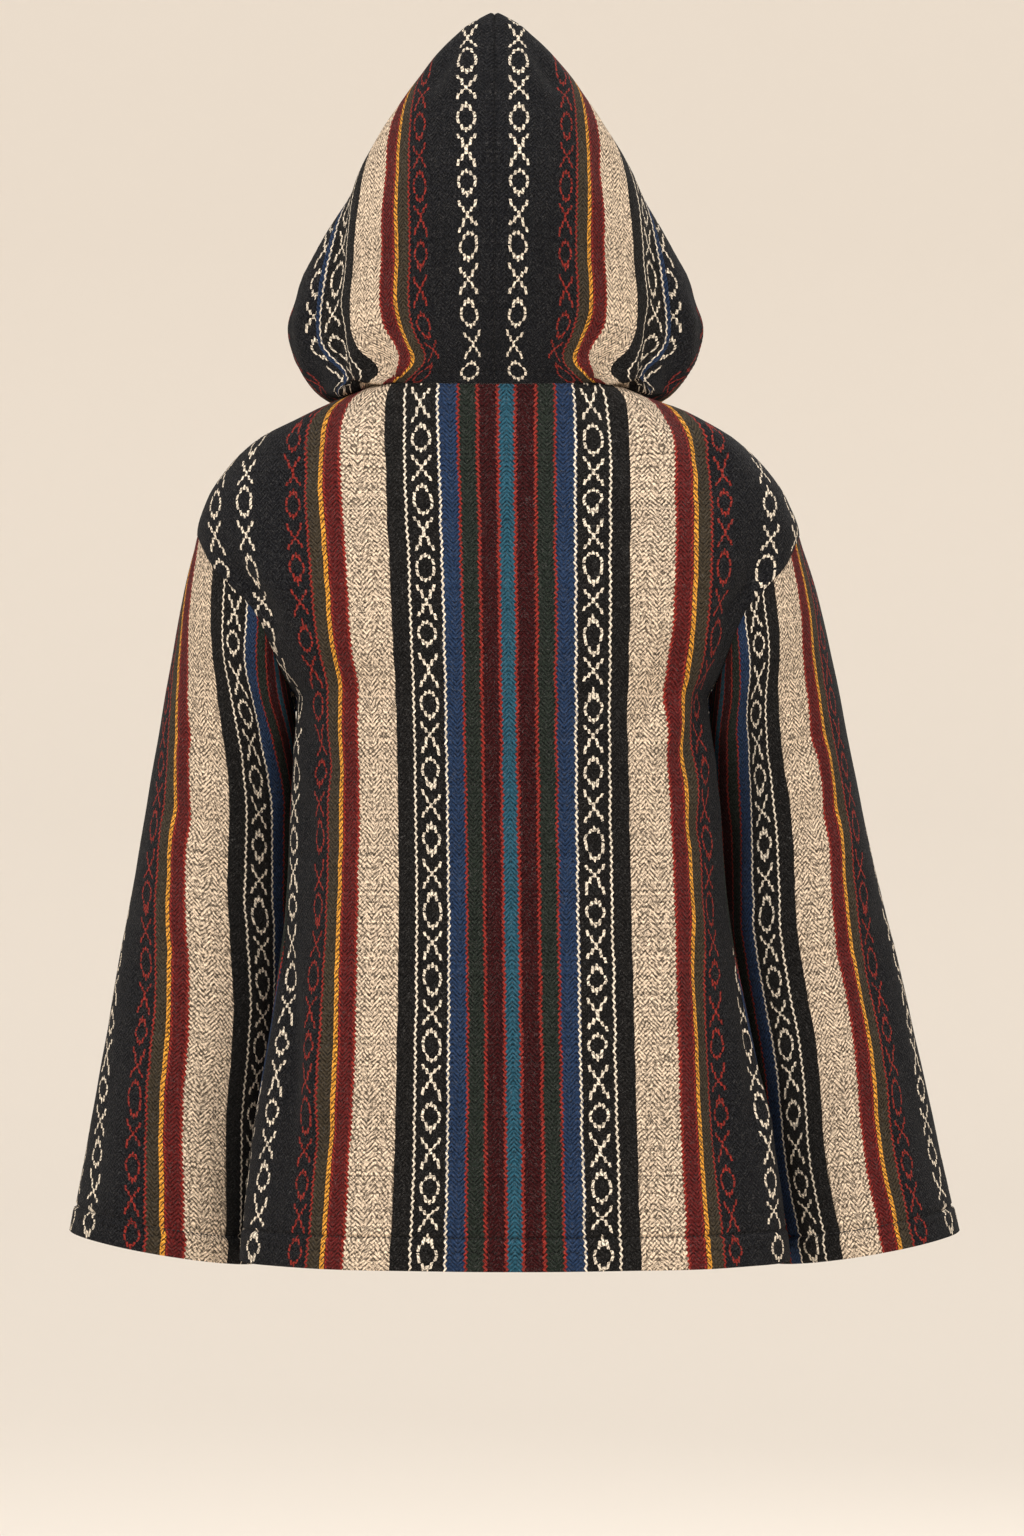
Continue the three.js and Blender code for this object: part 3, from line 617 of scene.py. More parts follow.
class Panel:
    """A piece of cloth as a grid of points, made on the wearer's left and mirrored for the right. Its rows
    run up, and its columns from right to left seen from outside."""

    def __init__(self, points, u, v, seam, relief, side=1, centre=None):
        """u and v are a point's place in the cloth, seam is how far it is from a seam, and centre marks the
        points that stay on the centre plane."""
        centre = np.zeros(u.shape, bool) if centre is None else centre
        grids = [points, u, v, seam, relief, centre]
        if side < 0:
            grids = [grid[:, ::-1] for grid in grids]
            grids[0] = grids[0] * np.array([-1, 1, 1])
        points, self.u, self.v, seam, relief, self.centre = grids
        height = relief - SEAM_DIP * np.exp(-seam / SEAM_SOFT)
        self.outer = points + self.facing(points) * height[..., None]
        self.n = self.facing(self.outer)
        self.side = side

    def facing(self, points):
        n = normals(points)
        n[self.centre, 0] = 0
        return unit(n)

    def mesh(self, name, rims):
        """The closed thin shell. rims are the grid's sides that are open edges, which are rounded."""
        outer = self.outer.copy()
        inner = outer - self.n * CLOTH
        picks = {"hem": np.s_[0], "front edge": np.s_[:, -1] if self.side > 0 else np.s_[:, 0]}
        for rim in rims:
            pick = picks[rim]
            outer[pick] -= self.n[pick] * RIM_ROUND
            inner[pick] += self.n[pick] * RIM_ROUND
        return shell_mesh(name, outer, inner, self.u, self.v)

    def level_line(self, values, level, across):
        """Points and normals where values reach a level, one in each row if across, else in each column."""
        if self.side < 0:
            values = values[:, ::-1]
        both = np.concatenate([self.outer, self.n], axis=2)
        if not across:
            values, both = values.T, both.transpose(1, 0, 2)
        found = []
        for line, places in zip(values, both):
            order = np.argsort(line, kind="stable")
            found.append([np.interp(level, line[order], column) for column in places[order].T])
        found = np.array(found)
        return found[:, :3], unit(found[:, 3:])


def shell_mesh(name, outer, inner, u, v):
    rows, columns = u.shape
    count = rows * columns
    ids = np.arange(count).reshape(rows, columns)
    a, b, c, d = ids[:-1, :-1], ids[:-1, 1:], ids[1:, 1:], ids[1:, :-1]
    outside = np.stack([a, d, c, b], axis=-1).reshape(-1, 4)
    inside = np.stack([a, b, c, d], axis=-1).reshape(-1, 4) + count

    def rim(line):
        return np.stack([line[:-1], line[1:], line[1:] + count, line[:-1] + count], axis=-1)

    edges = [rim(ids[0]), rim(ids[-1][::-1]), rim(ids[::-1, 0]), rim(ids[:, -1])]
    faces = np.concatenate([outside, inside, *edges])
    mesh = new_mesh(name, np.concatenate([outer.reshape(-1, 3), inner.reshape(-1, 3)]), faces)
    uv = np.tile(np.stack([u.ravel(), v.ravel()], axis=1), (2, 1)) * MM
    layer = mesh.uv_layers.new(name="Cloth")
    loops = np.empty(len(mesh.loops), dtype=np.int32)
    mesh.loops.foreach_get("vertex_index", loops)
    layer.data.foreach_set("uv", uv[loops].astype(np.float32).ravel())
    mesh.shade_smooth()
    return placed(name, mesh)


def new_mesh(name, points, faces):
    """A mesh from points in millimetres, leaned as the whole garment is."""
    mesh = bpy.data.meshes.new(name)
    mesh.from_pydata((lean(points) * MM).tolist(), [], faces.tolist())
    mesh.validate()
    return mesh


def placed(name, data):
    piece = bpy.data.objects.new(name, data)
    bpy.context.scene.collection.objects.link(piece)
    return piece


def prism_faces():
    """Faces of a closed prism of three sections with four corners each."""
    faces = []
    for low in (0, 4):
        for k in range(4):
            faces.append([low + k, low + (k + 1) % 4, low + 4 + (k + 1) % 4, low + 4 + k])
    return np.array([*faces, [3, 2, 1, 0], [8, 9, 10, 11]])


def stitches(name, lines):
    """Short threads along lines on the cloth, each line given by its points and normals."""
    verts = []
    for points, n in lines:
        lengths = run_lengths(points)
        starts = np.arange(STITCH_PITCH / 2, lengths[-1] - STITCH_PITCH, STITCH_PITCH)
        at = starts[:, None] + STITCH_SECTIONS * STITCH_LENGTH
        place = sampled(points, lengths, at)
        facing = unit(sampled(n, lengths, at))
        aside = unit(np.cross(facing, (place[:, -1] - place[:, 0])[:, None]))
        radius = STITCH_TAPER[:, None] * STITCH_RADIUS
        place = place + facing * STITCH_RISE[:, None]
        aside, rise = aside * radius, facing * radius
        corners = [place + aside, place + rise, place - aside, place - rise]
        verts.append(np.stack(corners, axis=2).reshape(-1, 3))
    verts = np.concatenate(verts)
    starts = np.arange(0, len(verts), PRISM_POINTS)
    mesh = new_mesh(name, verts, (starts[:, None, None] + prism_faces()).reshape(-1, 4))
    mesh.shade_smooth()
    return placed(name, mesh)


def gathered(heights, rows):
    """Grids of the points, their heights, and each further value that follows X, Y and Z in the rows."""
    grid = np.array(rows)
    points, values = grid[..., :3], np.moveaxis(grid[..., 3:], -1, 0)
    return points, np.broadcast_to(heights[:, None], grid.shape[:2]), *values


def back_panel():
    heights = body_heights()
    half = seamed_shares(BACK_HALF, BACK_SPANS)
    rows = []
    for at in heights:
        row = []
        for side, shares in ((-1, half[:0:-1]), (1, half)):
            ring = half_ring(BODY, BODY_FOLDS, at, side)
            end = arm_length(ring, at, False) - SEAM_GAP / 2
            places = shares * end
            p = ring_points(ring, places) * np.array([side, 1, 1])
            row.append(np.column_stack([p, side * places, end - places]))
        rows.append(np.concatenate(row))
    points, v, u, seam = gathered(heights, rows)
    ease = eased(np.minimum(seam, NECK_AT - v))
    relief = crease_height(BACK_CREASES, u, v) + ripple(u, v) + stitched_edge(v, HEM_DEPTH)
    draw = 1 + np.where(u < 0, *BACK_DRAW) * np.sin(np.pi * v / NECK_AT)
    return Panel(points, u * draw + BACK_SHIFT * v / NECK_AT, v, body_seam(seam, v), relief * ease)


def front_panel(side):
    heights = body_heights()
    shares = seamed_shares(FRONT_WIDTH, FRONT_SPANS)
    rows = []
    for at in heights:
        ring = half_ring(BODY, BODY_FOLDS, at, side)
        start = arm_length(ring, at, True) + SEAM_GAP / 2
        end = ring["full"] - ZIP_GAP / 2
        places = mix(start, end, shares)
        p = ring_points(ring, places)
        rows.append(np.column_stack([p, ring["full"] - places, places - start, end - places]))
    points, v, u, seam, edge = gathered(heights, rows)
    ease = eased(np.minimum(np.minimum(seam, NECK_AT - v), edge + ZIP_EASE))
    relief = crease_height(FRONT_CREASES, FRONT_FULL - u, v) + ripple(u + FRONT_RIPPLE * side, v)
    relief += stitched_edge(v, HEM_DEPTH)
    relief *= ease
    relief += stitched_edge(edge, ZIP_HEM_DEPTH)
    return Panel(points, HALF_REPEAT - u, v, body_seam(seam, v), relief, side), edge


def hood_panel(side):
    top = HOOD["at"][-1]
    between = np.arange(HOOD_FROM, top - HOOD_UNDER_PEAK, HOOD_STEP)
    heights = np.concatenate([HOOD_LOW_ROWS, between, top - HOOD_PEAK_ROWS])
    shares = seamed_shares(HOOD_WIDTH, HOOD_SPANS)
    rows = []
    for at in heights:
        ring = half_ring(HOOD, HOOD_FOLDS, at, side)
        end = mix(ring["full"] - ZIP_GAP / 2, ring["full"], min(at / EDGE_EASE, 1))
        places = shares * end
        rows.append(np.column_stack([ring_points(ring, places), places, end - places]))
    points, v, u, edge = gathered(heights, rows)
    points[..., 0] = np.maximum(points[..., 0], SEAM_GAP / 2)
    over_head = v > HOOD["at"][HOOD["frontX"].tolist().index(0, 1)]
    centre = (u == 0) | (over_head & (edge < TINY))
    seam = np.where(over_head, np.minimum(u, edge), u)
    relief = crease_height(HOOD_CREASES, u, v) + ripple(u + HOOD_RIPPLE * side, v)
    relief += np.where(over_head, 0, stitched_edge(edge, FACE_HEM_DEPTH))
    relief *= eased(np.minimum(seam, v)) * eased(top - v, PEAK_EASE)
    pinch = 1 - HOOD_PINCH * np.exp(-(((v - PINCH_AT) / PINCH_REACH) ** 2))
    cut = u / (HOOD_STRETCH * pinch) + (HOOD_RIGHT_SHIFT if side < 0 else 0)
    panel = Panel(points, cut, v, level_at_neck(seam, v), relief, side, centre)
    return panel, np.where(over_head, FAR, edge)


def armhole_loop(side):
    """The armhole seam from its top down the back, and up the front, as two arrays of points."""
    halves = []
    for front in (False, True):
        line = []
        for at in armhole_heights(ARMHOLE_POINTS):
            ring = half_ring(BODY, BODY_FOLDS, at, side)
            line.append(ring_points(ring, np.array([arm_length(ring, at, front)]))[0])
        halves.append(np.array(line))
    return halves[0][::-1], halves[1]


def along_line(points, shares):
    """Points at shares of a line's length."""
    lengths = run_lengths(points)
    return sampled(points, lengths, shares * lengths[-1])


def sleeve_surface(side, turns, places):
    """Points of the sleeve at turns round it, and places along it counted in rings."""
    down, up = armhole_loop(side)
    back = turns <= 0.5
    first = np.where(
        back[:, None],
        along_line(down, np.clip(turns * 2, 0, 1)),
        along_line(up, np.clip(turns * 2 - 1, 0, 1)),
    )
    angle = 2 * np.pi * turns
    knots = [first]
    for k in range(len(SLEEVE["outerX"])):
        outer_x, outer_z, inner_x, inner_z, mid_y, half_depth = (SLEEVE[name][k] for name in SLEEVE)
        x = (outer_x + inner_x) / 2 + (outer_x - inner_x) / 2 * np.cos(angle)
        y = mid_y + half_depth * np.sin(angle)
        z = (outer_z + inner_z) / 2 + (outer_z - inner_z) / 2 * np.cos(angle)
        knots.append(np.stack([x, y, z], axis=1))
    last = len(knots) - 1
    rows = []
    for place in places:
        i = min(int(place), last - 1)
        before, start, end, after = (knots[min(max(k, 0), last)] for k in (i - 1, i, i + 1, i + 2))
        rows.append(curve(start, end, (end - before) / 2, (after - start) / 2, place - i))
    return np.array(rows)


def sleeve_panel(side):
    # Rows run from the cuff up, and columns from the underarm seam round the back and the front to it again.
    rings = len(SLEEVE["outerX"])
    between = np.linspace(*SLEEVE_SHARES, SLEEVE_STEPS)
    shares = np.concatenate([ARMHOLE_SHARES, between, CUFF_SHARES])
    places = rings * shares[::-1]
    turns = 0.5 + seamed_shares(SLEEVE_ROUND, SLEEVE_SPANS)[::-1]
    surface = sleeve_surface(side, turns % 1.0, places)
    for fold in SLEEVE_FOLDS:
        if fold[0] == side:
            depth = fold_depth(fold, places[:, None], (turns % 1.0)[None, :])
            surface = surface - normals(surface) * depth[..., None]
    v = np.zeros(surface.shape[:2])
    v[1:] = np.cumsum(np.linalg.norm(np.diff(surface, axis=0), axis=2), axis=0)
    # a is the length round from the outer side, with + towards the back.
    a = np.zeros(surface.shape[:2])
    a[:, 1:] = np.cumsum(np.linalg.norm(np.diff(surface, axis=1), axis=2), axis=1)
    outer_column = int(np.argmin(np.abs(turns - 1.0)))
    a = a[:, outer_column][:, None] - a
    wave = SLEEVE_WAVE * np.sin(2 * np.pi * v / SLEEVE_WAVE_PITCH + side)
    from_cream = cream_reach(side, surface, a, turns)[:, None] - a
    u = CREAM_MIDDLE + from_cream * SLEEVE_STRETCH[side] + wave
    from_underarm = np.minimum(turns - 0.5, 1.5 - turns) * SLEEVE_ROUND
    to_armhole = v[-1] - v
    ease = eased(np.minimum(to_armhole, from_underarm))
    seam = np.maximum(np.minimum(to_armhole + ARMHOLE_LEVEL, from_underarm), 0)
    relief = SLEEVE_CREASE_SHARE * crease_height(SLEEVE_CREASES, a, v)
    relief = relief + ripple(a + SLEEVE_RIPPLE * side, v) + stitched_edge(v, CUFF_HEM_DEPTH)
    return Panel(surface, u, v, seam, relief * ease, side)


def cream_reach(side, surface, a, turns):
    """For each row, how far round from the outer side the middle of the cream stripe is."""
    heights, reach_x = zip(*SLEEVE_CREAM[side][::-1])
    back = np.nonzero((turns >= CREAM_TURNS[0]) & (turns < CREAM_TURNS[1]))[0][::-1]
    found = []
    for row, lengths in zip(surface[:, back], a[:, back]):
        off = row[:, 0] - np.interp(row[:, 2], heights, reach_x)
        k = int(np.argmax(off < 0))
        share = off[k - 1] / (off[k - 1] - off[k])
        found.append(mix(lengths[k - 1], lengths[k], share) if k else 0.0)
    padded = np.pad(found, CREAM_WINDOW // 2, mode="edge")
    return np.convolve(padded, np.ones(CREAM_WINDOW) / CREAM_WINDOW, mode="valid")


def zip_teeth():
    """The closed zip's teeth, two rows that mesh along the centre front."""
    heights = np.arange(ZIP_ENDS + TOOTH_STEP, NECK_AT - ZIP_ENDS - TOOTH_STEP, TOOTH_STEP)
    middle = np.array([[0, smooth(BODY, "frontY", at), smooth(BODY, "frontZ", at)] for at in heights])
    along = unit(np.gradient(middle, axis=0))
    out = np.stack([0 * heights, -along[:, 2], along[:, 1]], axis=1)
    row = np.where(np.arange(len(heights)) % 2 == 0, 1, -1)
    near, far = TOOTH_REACH
    layers = []
    for depth, inset in zip(TOOTH_DEPTHS, (0, 0, TOOTH_INSET)):
        for x, y in ((near + inset, -1), (far - inset, -1), (far - inset, 1), (near + inset, 1)):
            corner = middle - out * depth + along * y * (TOOTH_HALF - inset)
            corner[:, 0] += x * row
            layers.append(corner)
    verts = np.stack(layers, axis=1).reshape(-1, 3)
    # The teeth of one row mirror those of the other, so their faces run the other way round.
    faces = [prism_faces()[:, ::-side] + tooth * PRISM_POINTS for tooth, side in enumerate(row)]
    return placed("zip_teeth", new_mesh("zip_teeth", verts, np.concatenate(faces)))


def rounded(node, name):
    """A copy of a rigid node with its sharp edges rounded."""
    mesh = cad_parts[node].data.copy()
    edit = bmesh.new()
    edit.from_mesh(mesh)
    bmesh.ops.dissolve_limit(edit, angle_limit=math.radians(FLAT_ANGLE), verts=edit.verts, edges=edit.edges)
    sharp = [edge for edge in edit.edges if edge.calc_face_angle(0) > math.radians(SHARP_ANGLE)]
    size = {"offset": METAL_ROUND, "segments": METAL_SEGMENTS}
    bmesh.ops.bevel(edit, geom=sharp, affect="EDGES", clamp_overlap=True, **size)
    edit.to_mesh(mesh)
    edit.free()
    mesh.shade_smooth()
    return placed(name, mesh)


class Nodes:
    """Short names for the shader nodes that work out a pattern from numbers."""

    def __init__(self, material):
        self.tree = material.node_tree
        self.tree.nodes.clear()

    def node(self, kind, **settings):
        made = self.tree.nodes.new(kind)
        for key, value in settings.items():
            setattr(made, key, value)
        return made

    def link(self, value, socket):
        if isinstance(value, bpy.types.NodeSocket):
            self.tree.links.new(value, socket)
        else:
            socket.default_value = value

    def surface(self, colour, values, height=None, bump=None):
        """Ends the material with a shader of this colour, these values and the relief of a height."""
        shader = self.node("ShaderNodeBsdfPrincipled")
        self.link(colour, shader.inputs["Base Color"])
        for name, value in values.items():
            self.link(value, shader.inputs[name])
        if bump:
            relief = self.node("ShaderNodeBump")
            for name, value in zip(("Strength", "Distance", "Height"), (*bump, height)):
                self.link(value, relief.inputs[name])
            self.link(relief.outputs[0], shader.inputs["Normal"])
        self.link(shader.outputs[0], self.node("ShaderNodeOutputMaterial").inputs[0])

    def result(self, kind, *values, **settings):
        """The first output of a new node, whose inputs are linked or set in turn."""
        made = self.node(kind, **settings)
        for value, socket in zip(values, made.inputs):
            self.link(value, socket)
        return made.outputs[0]

    def math(self, operation, *values):
        return self.result("ShaderNodeMath", *values, operation=operation)

    def add(self, a, b):
        return self.math("ADD", a, b)

    def sub(self, a, b):
        return self.math("SUBTRACT", a, b)

    def mul(self, a, b):
        return self.math("MULTIPLY", a, b)

    def less(self, a, b):
        return self.math("LESS_THAN", a, b)

    def more(self, a, b):
        return self.math("GREATER_THAN", a, b)

    def absolute(self, a):
        return self.math("ABSOLUTE", a)

    def bounce(self, a, scale):
        return self.math("PINGPONG", a, scale)

    def inside(self, value, low, high):
        return self.mul(self.more(value, low), self.less(value, high))

    def grain(self, a, b, cells, detail=1.0, rough=0.5, distortion=0.0):
        """Noise round 0, with this many cells for each millimetre along a and along b."""
        made = self.node("ShaderNodeTexNoise")
        place = self.result("ShaderNodeCombineXYZ", self.mul(a, cells[0]), self.mul(b, cells[1]))
        self.link(place, made.inputs["Vector"])
        names = ("Scale", "Detail", "Roughness", "Distortion")
        for name, value in zip(names, (1.0, detail, rough, distortion)):
            made.inputs[name].default_value = value
        return self.sub(made.outputs["Fac"], 0.5)

    def step(self, value, start, end, strength):
        """A share that rises from 0 to strength as value goes from start to end."""
        return self.result("ShaderNodeMapRange", value, start, end, 0.0, strength)

    def ramp(self, value, stops, interpolation="CONSTANT"):
        made = self.node("ShaderNodeValToRGB")
        ramp = made.color_ramp
        ramp.interpolation = interpolation
        for k, (place, colour) in enumerate(stops):
            element = ramp.elements[k] if k < 2 else ramp.elements.new(place)
            element.position = place
            element.color = (*colour, 1)
        self.link(value, made.inputs["Fac"])
        return made.outputs["Color"]

    def blend(self, share, a, b, blend_type="MIX"):
        made = self.node("ShaderNodeMix", data_type="RGBA", blend_type=blend_type)
        for value, socket in zip((share, a, b), (made.inputs[0], made.inputs[6], made.inputs[7])):
            if isinstance(value, tuple):
                value = (*value, 1)
            self.link(value, socket)
        return made.outputs[2]


def in_lines(n, value, lines):
    """1 inside any of the lines, each given by its two edges."""
    out = None
    for low, high in lines:
        mask = n.inside(value, low, high)
        out = mask if out is None else n.math("MAXIMUM", out, mask)
    return out


def motif(n, s, along, centre, pitch):
    """1 on the slanting dashes of the rings and crosses of one band."""
    off = n.absolute(n.sub(s, centre))
    column = n.math("ROUND", n.math("DIVIDE", off, pitch))
    beside = n.sub(off, n.mul(column, pitch))
    place = n.math("FLOORED_MODULO", along, MOTIF_REPEAT)
    from_ring = n.absolute(n.sub(place, MOTIF_REPEAT / 4))
    from_cross = n.absolute(n.sub(place, MOTIF_REPEAT * 3 / 4))
    bend = n.mul(column, n.add(n.mul(column, RING_BEND[1]), RING_BEND[0]))
    ring = n.sub(from_ring, n.sub(RING_RISE, bend))
    cross = n.sub(from_cross, n.mul(column, CROSS_STEP))

    def dashes(height, slant):
        shifted = n.absolute(n.add(beside, n.mul(height, slant)))
        return n.mul(n.less(shifted, DASH_WIDTH * pitch), n.less(n.absolute(height), DASH))

    either = n.math("MAXIMUM", dashes(ring, DASH_SLANT), dashes(cross, -DASH_SLANT))
    return n.mul(either, n.less(off, MOTIF_COLUMNS * pitch))


def wavy(n, value, v, teeth):
    """value, moved from side to side in a zigzag along the cloth."""
    half_pitch, reach = teeth
    return n.add(value, n.mul(n.sub(n.bounce(v, half_pitch), half_pitch / 2), reach))


def ticked(n, colour, s, u, v, start):
    """colour with the cream band's dark ticks."""
    turned = n.bounce(u, TICK_TURN)
    up, down = n.add(v, turned), n.sub(v, turned)
    rows = n.math("SINE", n.mul(up, 2 * math.pi / TICK_PITCH))
    ticks = n.add(n.mul(rows, TICK_ROWS), n.grain(down, up, TICK_CELLS, *TICK_NOISE))
    share = n.step(ticks, start, start + TICK_EDGE, TICK_STRENGTH)
    return n.blend(n.mul(n.inside(s, *CREAM_BAND), share), colour, FLECK)


def cloth_pattern(n, u, v, hood):
    """The colour of the stripes, lines and motifs at a place in the cloth, in millimetres."""
    if hood:
        pattern_u = n.add(n.sub(HOOD_START, u), n.mul(n.more(u, HOOD_JUMP), HOOD_AGAIN))
    else:
        pattern_u = u

    # The yarn's unevenness moves every edge a little, and the whole web drifts.
    fuzz = n.grain(u, v, FUZZ_CELLS)
    drift = n.grain(u, v, DRIFT_CELLS)
    s = n.bounce(n.add(pattern_u, n.mul(drift, STRIPE_DRIFT)), HALF_REPEAT)
    s_fuzzy = n.add(s, n.mul(fuzz, EDGE_FUZZ))
    colour = n.ramp(n.mul(s_fuzzy, 1 / HALF_REPEAT), [(at / HALF_REPEAT, c) for at, c in STRIPES])
    start = HOOD_TICK_START if hood else TICK_START
    colour = ticked(n, colour, s_fuzzy, n.add(u, n.mul(drift, TICK_DRIFT)), v, start)
    colour = n.blend(in_lines(n, wavy(n, s_fuzzy, v, RED_TEETH), RED_LINES), colour, RED)
    colour = n.blend(in_lines(n, wavy(n, s, v, WHITE_TEETH), WHITE_LINES), colour, OFF_WHITE)

    # The yellow line is braided, so it darkens between its slanting strands.
    slanted = n.add(v, n.mul(s, STRAND_SLANT))
    strand = n.less(n.math("FLOORED_MODULO", slanted, STRAND_PITCH), STRAND_GAP)
    colour = n.blend(n.mul(n.inside(s_fuzzy, *YELLOW_BAND), strand), colour, OLIVE)

    along = n.add(n.add(v, n.mul(drift, MOTIF_DRIFT)), n.mul(fuzz, MOTIF_FUZZ))
    across = n.add(s, n.mul(fuzz, DASH_FUZZ))
    for centre, pitch, ink in MOTIF_BANDS:
        colour = n.blend(motif(n, across, along, centre, pitch), colour, ink)
    return colour


def woven(n, colour, u, v):
    """colour as a chevron twill of soft yarns, with a painted sheen on its nap's hairs, and the height of
    its relief.
    """
    chevron = n.bounce(u, CHEVRON)
    up, down = n.add(v, chevron), n.sub(v, chevron)
    twill = n.math("SINE", n.mul(up, 2 * math.pi / TWILL_PITCH))
    yarns = n.grain(up, down, YARN_CELLS, *YARN_NOISE)
    patches = n.grain(u, v, PATCH_CELLS, *PATCH_NOISE)
    light = n.add(n.mul(twill, TWILL_LIGHT), n.mul(yarns, YARN_LIGHT))
    light = n.add(light, n.mul(patches, PATCH_LIGHT))
    light = n.math("MAXIMUM", n.add(light, 1.0), LEAST_LIGHT)
    shade = n.result("ShaderNodeCombineColor", light, light, light)
    colour = n.blend(1.0, colour, shade, "MULTIPLY")
    hair = n.grain(u, v, HAIR_CELLS, *HAIR_NOISE, HAIR_CURL)
    # Painted sheen on the nap: the pale colour is mixed in where the hair noise is high. The same noise also
    # gives the hairs their real relief.
    colour = n.blend(n.step(hair, *HAIR_SHEEN_EDGES, HAIR_SHEEN_STRENGTH), colour, PAINTED_NAP_SHEEN)
    height = n.add(n.mul(twill, TWILL_RELIEF), n.mul(n.add(yarns, hair), YARN_RELIEF))
    return colour, height


def new_material(name):
    material = bpy.data.materials.new(name)
    material.use_nodes = True
    return material, Nodes(material)


def cloth_material(name, hood=False):
    material, n = new_material(name)
    uv = n.node("ShaderNodeUVMap", uv_map="Cloth").outputs["UV"]
    split = n.node("ShaderNodeSeparateXYZ")
    n.link(uv, split.inputs[0])
    u = n.mul(split.outputs[0], 1 / MM)
    v = n.mul(split.outputs[1], 1 / MM)
    colour, height = woven(n, cloth_pattern(n, u, v, hood), u, v)
    n.surface(colour, CLOTH_SURFACE, height, CLOTH_BUMP)
    return material


def grained_material(name, dark, light, scale, rough, metallic=0.0):
    """A material whose colour and roughness vary with a fine grain."""
    material, n = new_material(name)
    grain = n.node("ShaderNodeTexNoise")
    n.link(n.node("ShaderNodeTexCoord").outputs["Object"], grain.inputs["Vector"])
    grain.inputs["Scale"].default_value = scale
    grain.inputs["Detail"].default_value = GRAIN_DETAIL
    share = grain.outputs["Fac"]
    colour = n.ramp(share, list(zip(GRAIN_EDGES, (dark, light))), "LINEAR")
    greys = n.ramp(share, [(edge, (grey,) * 3) for edge, grey in zip(GRAIN_EDGES, rough)], "LINEAR")
    n.surface(colour, {"Roughness": greys, "Metallic": metallic}, share, GRAIN_BUMP)
    return material


def dress(piece, material, body, slot, *nodes):
    piece.data.materials.clear()
    piece.data.materials.append(material)
    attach(piece, body)
    if nodes:
        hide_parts(*nodes)
    return piece


cloth = cloth_material("blanket_cloth")
hood_cloth = cloth_material("blanket_cloth_hood", hood=True)
thread = grained_material("sewing_thread", **THREAD)
metal = grained_material("aged_brass", **METAL, metallic=1.0)
tape = grained_material("zip_tape_yarn", **TAPE)

panel = back_panel()
back = dress(panel.mesh("cloth_back", ["hem"]), cloth, "jacket", "cloth", "back")
hem_lines = [panel.level_line(panel.v, HEM_DEPTH, across=False)]
cuff_lines, face_lines, zip_lines = [], [], []
for side, name in NAMES.items():
    panel, edge = front_panel(side)
    front = panel.mesh(f"cloth_front_{name}", ["hem", "front edge"])
    dress(front, cloth, "jacket", "cloth", f"front_{name}")
    hem_lines.append(panel.level_line(panel.v[:, ::side], HEM_DEPTH, across=False))
    zip_lines.append(panel.level_line(edge, ZIP_HEM_DEPTH, across=True))
    panel = sleeve_panel(side)
    sleeve = dress(panel.mesh(f"cloth_sleeve_{name}", ["hem"]), cloth, "jacket", "cloth", f"sleeve_{name}")
    cuff_lines.append(panel.level_line(panel.v[:, ::side], CUFF_HEM_DEPTH, across=False))
    panel, edge = hood_panel(side)
    hood = panel.mesh(f"cloth_hood_{name}", ["front edge"])
    dress(hood, hood_cloth, "jacket", "cloth", f"hood_{name}")
    rows = edge[:, -1] < FAR
    line, facing = panel.level_line(edge, FACE_HEM_DEPTH, across=True)
    face_lines.append((line[rows], facing[rows]))

for name, lines in (("hem", hem_lines), ("cuff", cuff_lines), ("face", face_lines), ("zip", zip_lines)):
    dress(stitches(f"stitches_{name}", lines), thread, "jacket", "cloth")
dress(zip_teeth(), metal, "jacket", "zip_metal", "zip_chain")
dress(rounded("zip_slider", "slider"), metal, "jacket", "zip_metal", "zip_slider")
dress(rounded("zip_pull", "pull_tab"), metal, "pull", "zip_metal", "zip_pull")
for node in ("zip_tape_left", "zip_tape_right"):
    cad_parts[node].data.materials.clear()
    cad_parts[node].data.materials.append(tape)


# The room: a pale dish that rises all round, soft light from above and behind the camera.
CAMERA_DISTANCE = 4.0
FRAME_HEIGHT = 1.152  # what the picture's height covers in the middle of the jacket
CAMERA_X = -0.0131
CAMERA_Z = -0.289
FLOOR_Z = -1.5
PALE = (0.83, 0.765, 0.69)
FLOOR_PALE = (0.61, 0.565, 0.51)  # the floor's middle, which the lights brighten
FLOOR_FADE = (2.6, 4.4)  # radii between which one tone goes over into the other
DISH_PROFILE = [(6, 0), (8, 0.25), (9.3, 1.1), (10, 2.6), (10.2, 5.5)]  # radius and rise of each ring
DISH_STEPS = 96
SKY = (1.0, 0.985, 0.96, 1)
SKY_STRENGTH = 1.05
LIGHT_AIM = (0, 0, -0.25)
# The lights: name, place, size and power.
LIGHTS = [
    ("key", (1.9, 3.2, 1.5), 2.2, 95),
    ("fill", (-2.6, 2.6, 0.6), 2.6, 45),
    ("front_key", (-1.8, -3.2, 1.5), 2.4, 55),
]
SENSOR = 36
CLIP_END = 60


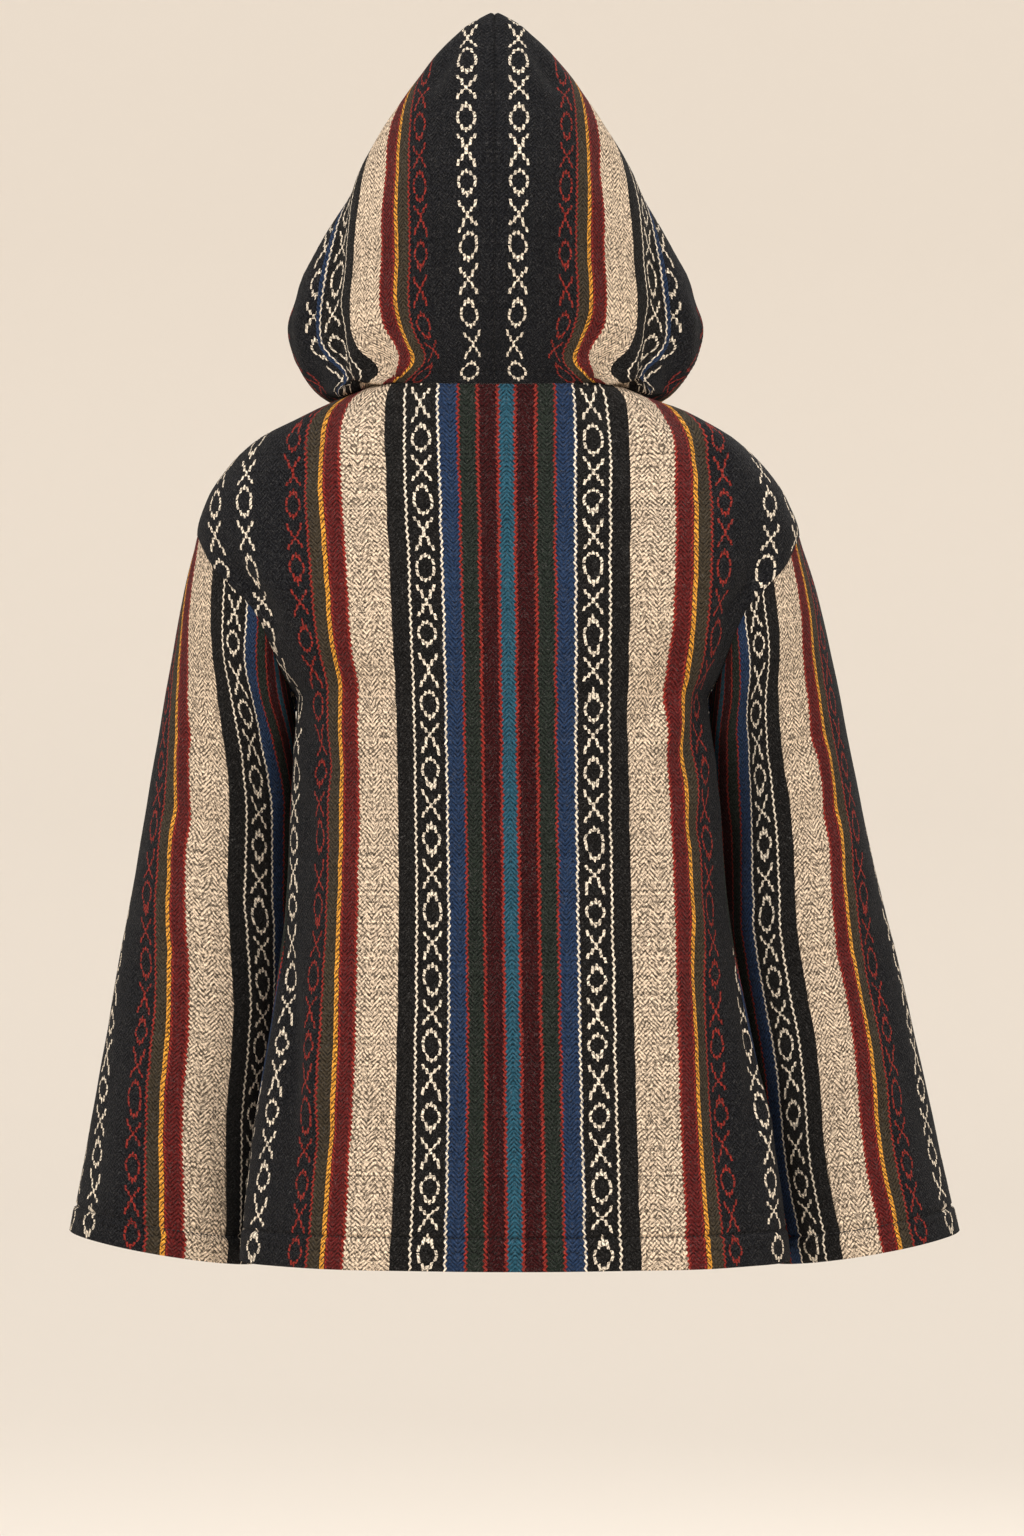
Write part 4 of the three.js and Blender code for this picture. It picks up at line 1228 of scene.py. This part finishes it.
def floor_material():
    material, n = new_material("pale_floor")
    place = n.node("ShaderNodeSeparateXYZ")
    n.link(n.node("ShaderNodeTexCoord").outputs["Object"], place.inputs[0])
    across, away = place.outputs[0], place.outputs[1]
    radius = n.math("SQRT", n.add(n.mul(across, across), n.mul(away, away)))
    colour = n.blend(n.step(radius, *FLOOR_FADE, 1.0), FLOOR_PALE, PALE)
    n.surface(colour, {"Roughness": 1.0, "Specular IOR Level": 0.0})
    return material


def pale_dish():
    verts = [(0.0, 0.0, FLOOR_Z)]
    for radius, rise in DISH_PROFILE:
        for k in range(DISH_STEPS):
            turn = 2 * math.pi * k / DISH_STEPS
            verts.append((radius * math.cos(turn), radius * math.sin(turn), FLOOR_Z + rise))
    faces = []
    for k in range(DISH_STEPS):
        beside = (k + 1) % DISH_STEPS
        faces.append((0, 1 + k, 1 + beside))
        for ring in range(len(DISH_PROFILE) - 1):
            low = 1 + ring * DISH_STEPS
            high = low + DISH_STEPS
            faces.append((low + k, high + k, high + beside, low + beside))
    mesh = bpy.data.meshes.new("pale_floor")
    mesh.from_pydata(verts, [], faces)
    mesh.shade_smooth()
    mesh.materials.append(floor_material())
    placed("pale_floor", mesh)


def area_light(name, place, size, power):
    data = bpy.data.lights.new(name, "AREA")
    data.shape = "DISK"
    data.size = size
    data.energy = power
    light = placed(name, data)
    light.location = place
    toward = np.array(LIGHT_AIM) - np.array(place)
    yaw = math.atan2(toward[1], toward[0]) - math.pi / 2
    pitch = math.atan2(toward[2], math.hypot(toward[0], toward[1]))
    light.rotation_euler = (math.pi / 2 + pitch, 0, yaw)


def studio():
    world = bpy.data.worlds.new("studio")
    world.use_nodes = True
    sky = world.node_tree.nodes["Background"]
    sky.inputs["Color"].default_value = SKY
    sky.inputs["Strength"].default_value = SKY_STRENGTH
    bpy.context.scene.world = world
    bpy.context.scene.view_settings.view_transform = "Standard"
    for light in LIGHTS:
        area_light(*light)


def camera():
    data = bpy.data.cameras.new("camera")
    data.sensor_fit = "VERTICAL"
    data.sensor_height = SENSOR
    data.lens = SENSOR * CAMERA_DISTANCE / FRAME_HEIGHT
    data.clip_end = CLIP_END
    made = placed("camera", data)
    made.location = (CAMERA_X, CAMERA_DISTANCE, CAMERA_Z)
    made.rotation_euler = (math.pi / 2, 0, math.pi)
    bpy.context.scene.camera = made


pale_dish()
studio()
camera()
